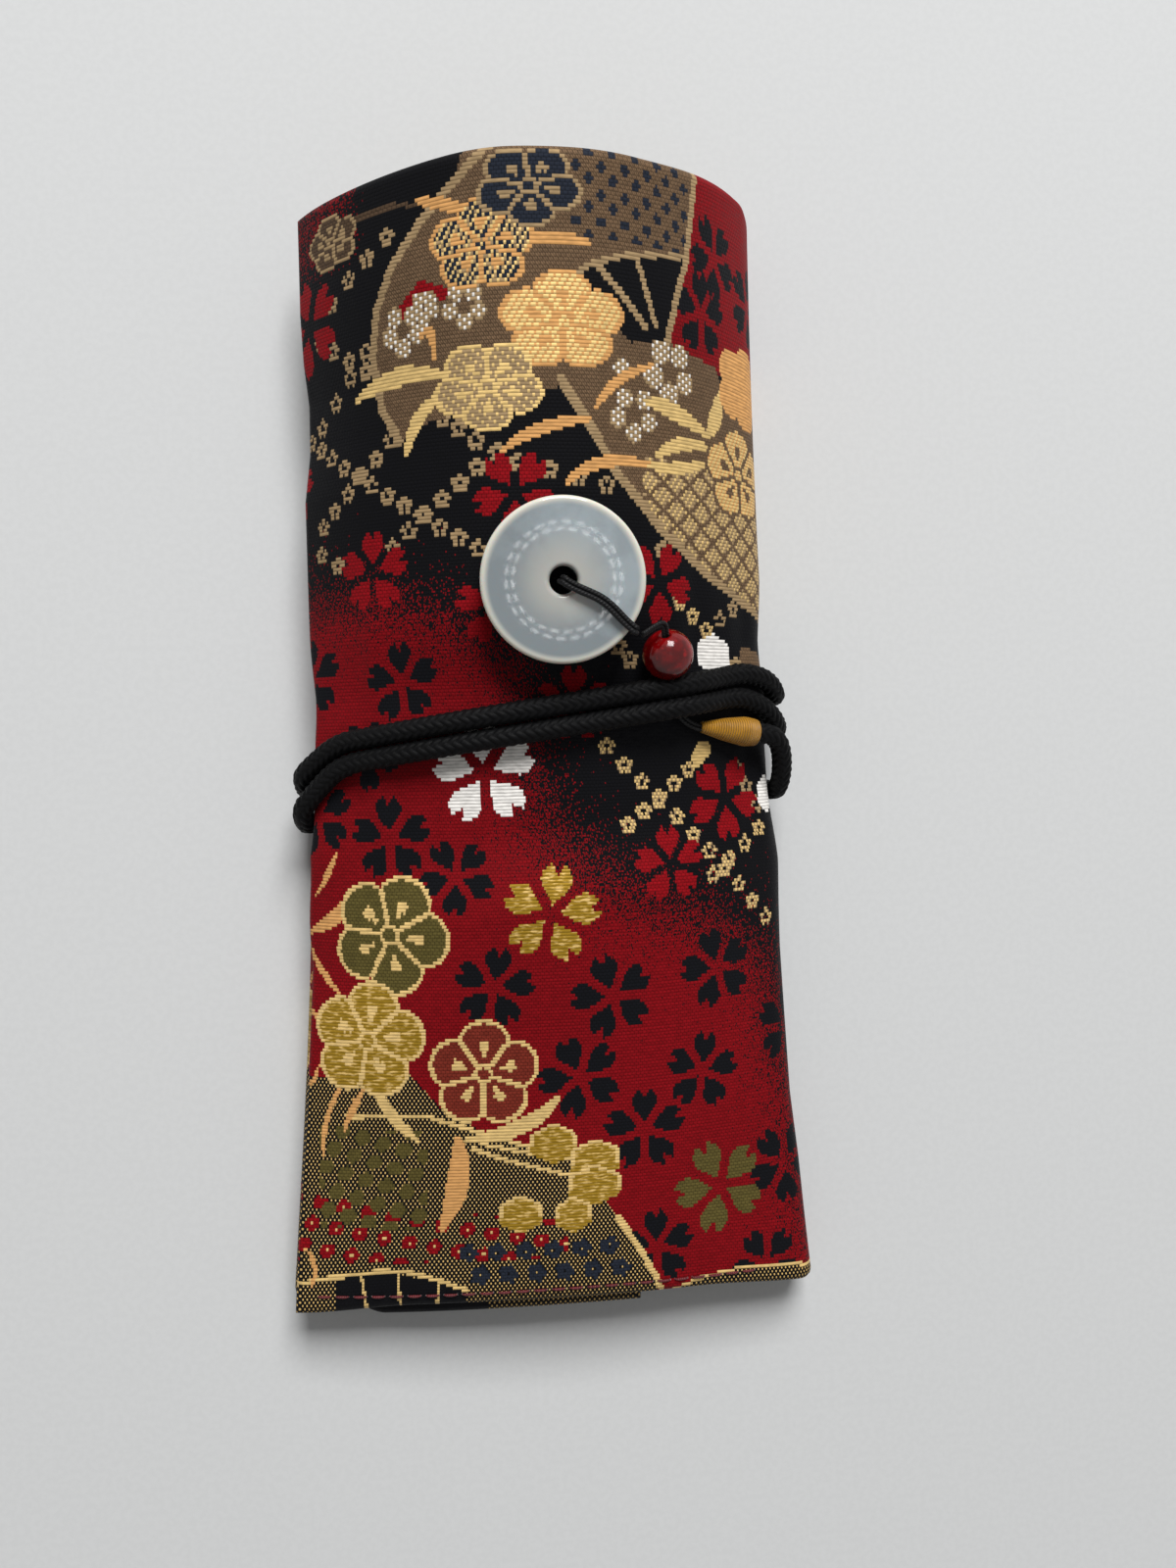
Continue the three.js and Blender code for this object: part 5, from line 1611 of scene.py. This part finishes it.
def camera_frame():
    """The camera's place and its right, up and back, from its tilt and roll."""
    forward = unit(np.array([math.sin(CAMERA_TILT[1]), math.sin(CAMERA_TILT[0]), -1.0]))
    right = np.array([1.0, 0, 0])
    right = unit(right - forward * forward[0])
    up = np.cross(right, forward)
    c, s = math.cos(CAMERA_ROLL), math.sin(CAMERA_ROLL)
    return np.array(CAMERA_PLACE), right * c + up * s, up * c - right * s, -forward


class PouchStage(Operator):
    """Adds the camera, the table and the lamps"""

    bl_idname = "pouch.stage"
    bl_label = "Stage"

    def execute(self, context):
        _, colours, sizes = settings()
        scene = context.scene
        scene.view_settings.view_transform = "Standard"
        camera = new_object("camera", bpy.data.cameras.new("camera"))
        camera.data.sensor_width = SENSOR_WIDTH
        camera.data.lens = CAMERA_LENS
        camera.data.clip_start = 0.01
        place, right, up, back = camera_frame()
        turn = Matrix(np.stack([right, up, back], axis=1).tolist()).to_4x4()
        camera.matrix_world = Matrix.Translation(Vector(place * MM)) @ turn
        scene.camera = camera

        bm = bmesh.new()
        bmesh.ops.create_grid(bm, x_segments=1, y_segments=1, size=TABLE_HALF_WIDTH)
        bmesh.ops.translate(bm, verts=bm.verts, vec=(0, 0, -TABLE_GAP * MM))
        table = new_object("table", mesh_from("table", bm))
        table.data.materials.append(floor_material(colours.floor))

        world = bpy.data.worlds.new("Room")
        scene.world = world
        world.use_nodes = True
        light, strength = world.node_tree.nodes["Background"].inputs[:2]
        light.default_value = (1.0, 1.0, 1.0, 1.0)
        tree = Tree(world.node_tree)
        ray = tree.node("LightPath").outputs
        seen = tree.math("MAXIMUM", ray["Is Glossy Ray"], ray["Is Transmission Ray"])
        seen = tree.math("MAXIMUM", ray["Is Camera Ray"], seen)
        tree.link(tree.span(seen, 0.0, 1.0, sizes.room_light, SEEN_ROOM), strength)
        lamp = new_object("key", bpy.data.lights.new("key", "AREA"))
        lamp.data.energy = sizes.key_light
        lamp.data.size = KEY_SIZE
        lamp.location = KEY_PLACE
        lamp.rotation_euler = Vector(KEY_PLACE).to_track_quat("Z", "Y").to_euler()
        self.ring_lamps(sizes.ring_light)
        return {"FINISHED"}

    def ring_lamps(self, strength):
        """Two rings of small lamps placed where the disc mirrors them to the camera."""
        disc, face, _ = disc_frame()
        to_camera = unit(np.array(CAMERA_PLACE) - disc)
        mirrored = 2 * face * (face @ to_camera) - to_camera
        centre = disc + mirrored * np.linalg.norm(np.array(CAMERA_PLACE) - disc)
        side = unit(np.cross(mirrored, (0, 1.0, 0)))
        other = np.cross(mirrored, side)
        bm = bmesh.new()
        for radius, count in RING_LAMPS:
            for k in range(count):
                dash = []
                for turn, reach in ((0, 0), (RING_LAMP_SHARE, 0), (RING_LAMP_SHARE, 1), (0, 1)):
                    angle = (k + turn) * 2 * math.pi / count
                    size = radius + reach * RING_LAMP_WIDTH
                    spot = centre + (side * math.cos(angle) + other * math.sin(angle)) * size
                    dash.append(bm.verts.new(Vector(spot * MM)))
                bm.faces.new(dash)
        lamps = new_object("ring_lamps", mesh_from("ring_lamps", bm))
        glow = {"Color": (1.0, 1.0, 1.0, 1.0), "Strength": strength}
        lamps.data.materials.append(new_material("Ring lamp", glow, "Emission")[0])
        lamps.visible_camera = False


class PouchCord(Operator):
    """Winds the closing cord about the waist, lashed to the flap's free edge"""

    bl_idname = "pouch.cord"
    bl_label = "Closing cord"

    def execute(self, context):
        _, colours, sizes = settings()
        path = spaced(cord_route(), CORD_STEP)
        arc = path_arc(path)
        turn = np.linspace(0, 1, CORD_SIDES + 1)
        along = arc[:, None] * MM / sizes.braid_lead
        a, b = BRAID_STRANDS * (turn + along), BRAID_STRANDS * (turn - along)
        lead = np.mod(np.floor(a) + np.floor(b), 4)
        part_a, part_b = a - np.floor(a), b - np.floor(b)
        on_top = lead < 2
        across = np.where(on_top, part_a, part_b)
        half = np.where(on_top, lead + part_b, lead - 2 + part_a) / 2
        wide, long = BRAID_ROUNDNESS
        bulge = np.sin(np.pi * across) ** wide * np.sin(np.pi * np.clip(half, 0, 1)) ** long
        taper = lerp(START_TAPER, 1, smooth(arc, 0, TAPER_LENGTH))[:, None]
        rings = tube(path, (BRAID_RADIUS - BRAID_RELIEF * (1 - bulge)) * taper, CORD_SIDES)
        mesh = grid_mesh("closing_cord", rings, np.stack([a, b], axis=2), wrap=True)
        braid = braid_material("Silk braid", colours.cord)
        cord = add_piece("closing_cord", mesh, braid, "front_flap", ("wrap_cord",))
        self.lashing(path, wound_material("Lashing thread", colours.cord, 0.02, 0.3, 0.05))
        return {"FINISHED"}

    def lashing(self, path, thread):
        """Turns of thread about the cord's start."""
        turn = np.linspace(0, 1, CORD_SIDES + 1)
        along = np.linspace(0, LASHING_LENGTH, LASHING_POINTS)[:, None]
        spine = path[0] + unit(path[4] - path[0]) * (LASHING_START + along)
        inner, outer = (BRAID_RADIUS * START_TAPER + reach for reach in (LASHING_INNER, LASHING_OUTER))
        phase = along / LASHING_THREAD + turn
        coil = outer - LASHING_RELIEF * (1 - np.abs(np.sin(np.pi * phase)))
        rings = np.concatenate([tube(spine, coil, CORD_SIDES), tube(spine, inner, CORD_SIDES)[::-1]])
        rings = np.concatenate([rings, rings[:1]])
        places = np.stack([np.broadcast_to(turn * LASHING_STREAKS, rings.shape[:2]),
                           np.concatenate([phase, phase[::-1], phase[:1]])], axis=2)
        mesh = grid_mesh("edge_lashing", rings, places, wrap=True)
        add_piece("edge_lashing", mesh, thread, "front_flap", ("anchor_lashing",))


def strand_pair(name, path, radius, offset):
    """Two thin twisted strands side by side along a path."""
    _, side, _ = along_path(path)
    turn = np.linspace(0, 1, THIN_SIDES + 1)
    arc = path_arc(path)
    phase = arc[:, None] / STRAND_LEAD + turn
    thick = radius * (1 - STRAND_RELIEF * (1 - np.abs(np.sin(2 * np.pi * phase))))
    streaks = np.broadcast_to(arc[:, None] * STRAND_STREAKS, phase.shape)
    places = np.stack([streaks, phase * 2], axis=2)
    meshes = [grid_mesh(name, tube(path + side * away, thick, THIN_SIDES), places, wrap=True)
              for away in (-offset, offset)]
    return join_meshes(name, meshes), float(arc[-1])


class PouchLeader(Operator):
    """Runs the doubled leader from the whipping through the bead to the disc"""

    bl_idname = "pouch.leader"
    bl_label = "Leader and loop"

    def execute(self, context):
        _, colours, _ = settings()
        thread = wound_material("Leader thread", colours.leader, 0.04, 0.5, 0.2)
        path = spaced(leader_route(), LEADER_STEP)
        mesh, length = strand_pair("leader_strands", path, STRAND_RADIUS, STRAND_OFFSET)
        leader = add_piece("leader_strands", mesh, thread, "front_flap", ("leader_cord",))
        loop = loop_route()
        loop = bowed(evened(catmull([*loop, loop[0]], LOOP_CURVE_STEPS), LOOP_STEP))
        radius = LOOP_SHOWN / 2
        mesh, _ = strand_pair("disc_loop_strands", loop, radius, radius - STRAND_OVERLAP)
        add_piece("disc_loop_strands", mesh, thread, "disc_link", ("disc_loop",))
        return {"FINISHED"}


class PouchBrocade(Operator):
    """Lays the brocade over the front, round both sides and under the back"""

    bl_idname = "pouch.brocade"
    bl_label = "Brocade"

    def execute(self, context):
        yarns, _, _ = settings()
        silk = brocade_material("Silk brocade", yarns)
        ys = row_places(FRONT_NEAR_INSET)
        front = section_rows(front_panel, np.linspace(0, 1, FRONT_SAMPLES), ys, inset=hem_radius)
        fold = section_rows(right_fold, np.linspace(0, 1, RIGHT_FOLD_SAMPLES), ys)
        whole = even_columns(np.concatenate([front[:, :-1], fold[:, ::-1]], axis=1), FRONT_COLUMNS)
        whole = settled(pressed_in(whole, creases(whole)))
        places = flat_places(whole)
        places[:, :, 0] -= self.crown_places(whole, places)[:, None]
        edge = places[:, -1, 0].copy()
        self.lay("brocade_front", whole, places, ys, silk, None,
                 ("cover_front", "cover_fold_right", "padding_front", "padding_fold_right"),
                 sides=(True, False), bend=("front_flap", *RIGHT_BEND))

        edge = np.interp(row_places(), ys, edge)
        ys = row_places()
        base = section_rows(base_panel, np.linspace(1, 0, BACK_SAMPLES), ys)
        base = even_columns(base, BACK_COLUMNS)
        places = flat_places(base, edge)
        self.lay("brocade_back", base, places, ys, silk, "back", ("cover_back", "padding_back"))

        fold = section_rows(left_fold, np.linspace(0, 1, LEFT_FOLD_SAMPLES), ys)
        fold = bulged(even_columns(fold, FOLD_COLUMNS))
        places = flat_places(fold, places[:, -1, 0])
        self.lay("brocade_left_fold", fold, places, ys, silk, None,
                 ("cover_fold_left", "padding_fold_left"), bend=("inner_flap", *LEFT_BEND))

        inner = section_rows(inner_panel, np.linspace(0, 1, INNER_SAMPLES), ys, inset=hem_radius)
        inner = even_columns(inner, INNER_COLUMNS)
        reach = smooth(-inner[:, :, 1], INNER_REACH_FROM, HALF_LENGTH)
        inner[:, :, 1] -= INNER_NEAR_REACH * (reach * smooth(inner[:, :, 0], *INNER_REACH_ACROSS))
        places = flat_places(inner, places[:, -1, 0])
        self.lay("brocade_inner", inner, places, ys, silk, "inner_flap",
                 ("cover_inner", "padding_inner"), sides=(False, True))
        return {"FINISHED"}

    def crown_places(self, whole, places):
        """Each row's place on the flat cloth where it crosses the flap's middle."""
        columns = np.arange(FRONT_COLUMNS)
        flap = columns[: FRONT_COLUMNS * 3 // 4]
        middle = [np.interp(0, row[flap, 0], flap) for row in whole]
        return np.array([np.interp(m, columns, row) for m, row in zip(middle, places[:, :, 0])])

    def lay(self, name, points, places, ys, silk, body, nodes, sides=(False, False), bend=None):
        """Hems a panel and adds it; a panel given a bend has its transform baked."""
        points, flat = hemmed(points, places, ys, sides)
        piece = add_piece(name, cloth_mesh(name, points, flat), silk, body, nodes)
        if bend:
            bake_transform(piece)


class PouchLinings(Operator):
    """Lines every panel with plain cream cloth"""

    bl_idname = "pouch.linings"
    bl_label = "Linings"

    def execute(self, context):
        _, colours, _ = settings()
        cream = plain_cloth_material("Cream lining", colours.lining)
        far = HALF_LENGTH - LINING_FAR_INSET
        ys = np.linspace(-HALF_LENGTH + LINING_NEAR_INSET, far, LINING_ROWS)
        front_ys = np.linspace(-HALF_LENGTH + LINING_FRONT_INSET, far, LINING_ROWS)

        def rows(panel, samples, places=ys, **words):
            return section_rows(panel, np.linspace(0, 1, samples), places, depth=self.middle, **words)

        front = rows(front_panel, LINING_SAMPLES, front_ys, inset=LINING_INSET)
        fold = rows(right_fold, LINING_SAMPLES, front_ys)
        whole = np.concatenate([front[:, :-1], fold[:, ::-1]], axis=1)
        back = rows(base_panel, LINING_BACK_SAMPLES)[:, ::-1]
        left = rows(left_fold, LINING_SAMPLES)
        inner = rows(inner_panel, LINING_INNER_SAMPLES, inset=LINING_INSET)
        for name, points, columns, nodes, body, bend, shape in (
                ("lining_front_cloth", whole, LINING_FRONT_COLUMNS,
                 ("lining_front", "lining_fold_right"), None, RIGHT_LINING_BEND, self.settled_lining),
                ("lining_back_cloth", back, LINING_BACK_COLUMNS, ("lining_back",), "back", None, None),
                ("lining_left_fold_cloth", left, LINING_FOLD_COLUMNS, ("lining_fold_left",),
                 None, LEFT_LINING_BEND, bulged),
                ("lining_inner_cloth", inner, LINING_INNER_COLUMNS, ("lining_inner",), "inner_flap",
                 None, None)):
            points = even_columns(points, columns, bend)
            if shape:
                points = shape(points)
            places = flat_places(points)
            threads = places.copy()
            threads[:, :, 0] = row_arcs(points, bend)
            mesh = grid_mesh(name, points, threads / LINING_THREAD)
            piece = add_piece(name, mesh, cream, body, nodes)
            thicken(piece, LINING_THICKNESS)
            if bend:
                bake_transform(piece)
        return {"FINISHED"}

    @staticmethod
    def middle(station):
        """Depth of the middle of the lining below the panel's outer face."""
        return panel_depth(station) - LINING_THICKNESS / 2

    @staticmethod
    def settled_lining(points):
        points = settled(points)
        near = smooth(-points[:, :, 1], LINING_REACH_FROM, HALF_LENGTH)
        points[:, :, 1] -= LINING_NEAR_REACH * near
        return points


def sleeve_point(u, station, lift):
    """A point over the row of arches for the pens."""
    along = (station - SLEEVE_NEAR) / (SLEEVE_MOUTH - SLEEVE_NEAR)
    rise = lerp(SLEEVE_NEAR_RISE, SLEEVE_MOUTH_RISE, along)
    x = (u - 0.5) * SLEEVE_COUNT * SLEEVE_WIDTH
    turn = u * SLEEVE_COUNT * np.pi
    height = base_height(station) + panel_depth(station) + LAYER_GAP + rise * np.sin(turn) ** 2
    slope = rise * np.pi * np.sin(2 * turn) / SLEEVE_WIDTH
    size = np.hypot(1, slope)
    x, z = x - slope / size * lift, height + lift / size
    return np.stack([x, length_at(station, x), z], axis=-1)


class PouchSleeves(Operator):
    """Sews in the row of pen sleeves with its bound mouth"""

    bl_idname = "pouch.sleeves"
    bl_label = "Pen sleeves"

    def execute(self, context):
        yarns, colours, sizes = settings()
        dark = plain_cloth_material("Sleeve cloth", colours.sleeve)
        points = self.arches(SLEEVE_COLUMNS, SLEEVE_ROWS, SLEEVE_NEAR, SLEEVE_THICKNESS / 2)
        places = flat_places(points)
        mesh = grid_mesh("sleeve_cloth", points, places / SLEEVE_THREAD)
        piece = add_piece("sleeve_cloth", mesh, dark, "back", ("sleeve_panel",))
        thicken(piece, SLEEVE_THICKNESS)

        seam_lift = SLEEVE_THICKNESS + LAYER_GAP
        bound = SLEEVE_MOUTH - BINDING_WIDTH
        points = self.arches(BINDING_COLUMNS, BINDING_ROWS, bound, seam_lift + BINDING_THICKNESS / 2)
        mesh = cloth_mesh("sleeve_tape", points, flat_places(points))
        tape = add_piece("sleeve_tape", mesh, brocade_material("Brocade tape", yarns), "back",
                         ("sleeve_binding",))
        thicken(tape, BINDING_THICKNESS)

        length = sizes.stitch_length / MM
        stations = np.arange(SLEEVE_NEAR + SEAM_END, bound - SEAM_END, length * SEAM_SPACING)
        seams = range(SLEEVE_COUNT + 1)
        spots = np.concatenate([
            sleeve_point(np.full(len(stations), n / SLEEVE_COUNT), stations, seam_lift) for n in seams])
        ways, outs = (np.tile(way, (len(spots), 1)) for way in ((0, 1.0, 0), (0, 0, 1.0)))
        mesh = stitch_mesh("sleeve_stitches", spots, ways, outs, length, SEAM_RADIUS)
        thread = wound_material("Seam thread", colours.stitch, 0.2, 0.5)
        nodes = [f"sleeve_seam_{n + 1}" for n in seams]
        add_piece("sleeve_stitches", mesh, thread, "back", nodes)
        return {"FINISHED"}

    def arches(self, columns, rows, near, lift):
        """Rows of points over the arches from a station to the mouth."""
        grid = np.meshgrid(np.linspace(0, 1, columns), np.linspace(near, SLEEVE_MOUTH, rows))
        return sleeve_point(*grid, lift)


class PouchHem(Operator):
    """Stitches the front flap's hem along the flat end"""

    bl_idname = "pouch.hem"
    bl_label = "Hem stitching"

    def execute(self, context):
        _, colours, sizes = settings()
        station = -HALF_LENGTH + HEM_INSET
        half = float(half_width(station)) - HEM_SIDE_INSET
        length = sizes.stitch_length / MM
        places, ways, outs = [], [], []
        for x in np.arange(-half, half - RIGHT_FOLD_REACH, length * HEM_SPACING):
            place, out = seat(x, station, HEM_STITCH_LIFT)
            ahead, _ = seat(x + 0.5, station, HEM_STITCH_LIFT)
            places.append(place)
            ways.append(unit(ahead - place))
            outs.append(out)
        mesh = stitch_mesh("hem_stitches", places, ways, outs, length, HEM_STITCH_RADIUS)
        thread = wound_material("Hem thread", colours.stitch, 0.2, 0.5)
        add_piece("hem_stitches", mesh, thread, "front_flap", ("hem_stitching",))
        return {"FINISHED"}


class PouchWhipping(Operator):
    """Winds the amber whipping over the cord's end"""

    bl_idname = "pouch.whipping"
    bl_label = "Whipping"

    def execute(self, context):
        _, colours, sizes = settings()
        tip, axis, _ = whipping_frame()
        pitch = sizes.whipping_thread / MM
        count = int(WHIPPING_LENGTH / pitch * WHIPPING_TURN_STEPS)
        along = np.linspace(0, WHIPPING_LENGTH, count + 1)
        wide, thin = WHIPPING_WIDE / 2, WHIPPING_TIP / 2
        waist_at, waist = WHIPPING_WAIST
        shape = np.interp(along / WHIPPING_LENGTH, [0, waist_at, WHIPPING_FULL_AT, 1],
                          [thin, lerp(thin, wide, waist), wide, WHIPPING_END * wide])
        kernel = np.hanning(2 * WHIPPING_EASE + 1)
        shape = np.pad(shape, WHIPPING_EASE, mode="edge")
        shape = np.convolve(shape, kernel / kernel.sum(), mode="valid")
        turn = np.linspace(0, 1, WHIPPING_SIDES + 1)
        phase = along[:, None] / pitch + turn
        radius = shape[:, None] - WHIPPING_RELIEF * (1 - np.abs(np.sin(np.pi * phase)))
        rings = tube(tip + axis * along[:, None], radius, WHIPPING_SIDES)
        places = np.stack([np.broadcast_to(turn * WHIPPING_STREAKS, phase.shape), phase], axis=2)
        mesh = grid_mesh("whipping", rings, places, wrap=True)
        thread = wound_material("Amber thread", colours.whipping, 0.3, 0.35)
        add_piece("whipping", mesh, thread, "front_flap", ("cord_whipping",))
        return {"FINISHED"}


class PouchBead(Operator):
    """Turns the bead on the leader"""

    bl_idname = "pouch.bead"
    bl_label = "Bead"

    def execute(self, context):
        _, colours, _ = settings()
        place, _, axis = bead_frame()
        radius = BEAD_SHOWN_RADIUS
        start = math.asin(BEAD_BORE_RADIUS / radius)
        profile = [(radius * math.sin(a), -radius * math.cos(a))
                   for a in np.linspace(start, math.pi - start, BEAD_STEPS)]
        mesh = lathe("stone_bead", profile + profile[:1], Vector(place), axis, BEAD_SIDES)
        add_piece("stone_bead", mesh, bead_material(colours.bead), "bead", ("bead",))
        return {"FINISHED"}


class PouchDisc(Operator):
    """Turns the ring disc"""

    bl_idname = "pouch.disc"
    bl_label = "Ring disc"

    def execute(self, context):
        _, colours, _ = settings()
        place, up, _ = disc_frame()
        inner, outer = DISC_BORE_RADIUS + DISC_ROUNDING, DISC_RADIUS - DISC_ROUNDING
        high = DISC_THICKNESS / 2 - DISC_ROUNDING
        profile = []
        for r, h, quarter in ((inner, -high, 2), (outer, -high, 3), (outer, high, 0), (inner, high, 1)):
            corner = corner_arc(r, h, DISC_ROUNDING, quarter, ROUNDING_STEPS)
            before, after = (unit(np.array([-math.sin(a), math.cos(a)])) * FLAT_EASE
                             for a in (quarter * math.pi / 2, (quarter + 1) * math.pi / 2))
            first, last = np.array(corner[0]) - before, np.array(corner[-1]) + after
            profile += [tuple(first), *corner, tuple(last)]
        mesh = lathe("stone_disc", profile + profile[:1], Vector(place), up, DISC_SIDES)
        stone = disc_material(colours.stone, colours.rim, colours.warm)
        add_piece("stone_disc", mesh, stone, "disc", ("disc",))
        return {"FINISHED"}


class PouchPanel(Panel):
    """Lists the pouch's pieces"""

    bl_idname = "VIEW3D_PT_pouch"
    bl_label = "Pen pouch"
    bl_space_type = "VIEW_3D"
    bl_region_type = "UI"
    bl_category = "Pen pouch"

    def draw(self, context):
        layout = self.layout
        for operator in OPERATORS:
            layout.operator(operator.bl_idname)
        for group, keys in ((context.scene.pouch_sizes, PouchSizes.__annotations__),
                            (context.scene.pouch_colours, PouchColours.__annotations__),
                            (context.scene.pouch_yarns, PouchYarns.__annotations__)):
            for key in keys:
                layout.prop(group, key)


GROUPS = (("pouch_yarns", PouchYarns), ("pouch_colours", PouchColours), ("pouch_sizes", PouchSizes))
OPERATORS = (
    PouchStage, PouchCord, PouchLeader, PouchBrocade, PouchLinings, PouchSleeves, PouchHem,
    PouchWhipping, PouchBead, PouchDisc)


def register():
    for cls in (*(group for _, group in GROUPS), *OPERATORS, PouchPanel):
        bpy.utils.register_class(cls)
    for name, group in GROUPS:
        setattr(bpy.types.Scene, name, PointerProperty(type=group))


def unregister():
    for name, _ in GROUPS:
        delattr(bpy.types.Scene, name)
    for cls in (PouchPanel, *reversed(OPERATORS), *(group for _, group in GROUPS)):
        bpy.utils.unregister_class(cls)


def main():
    register()
    for operator in OPERATORS:
        getattr(bpy.ops.pouch, operator.bl_idname.split(".")[1])()


if __name__ == "__main__":
    main()
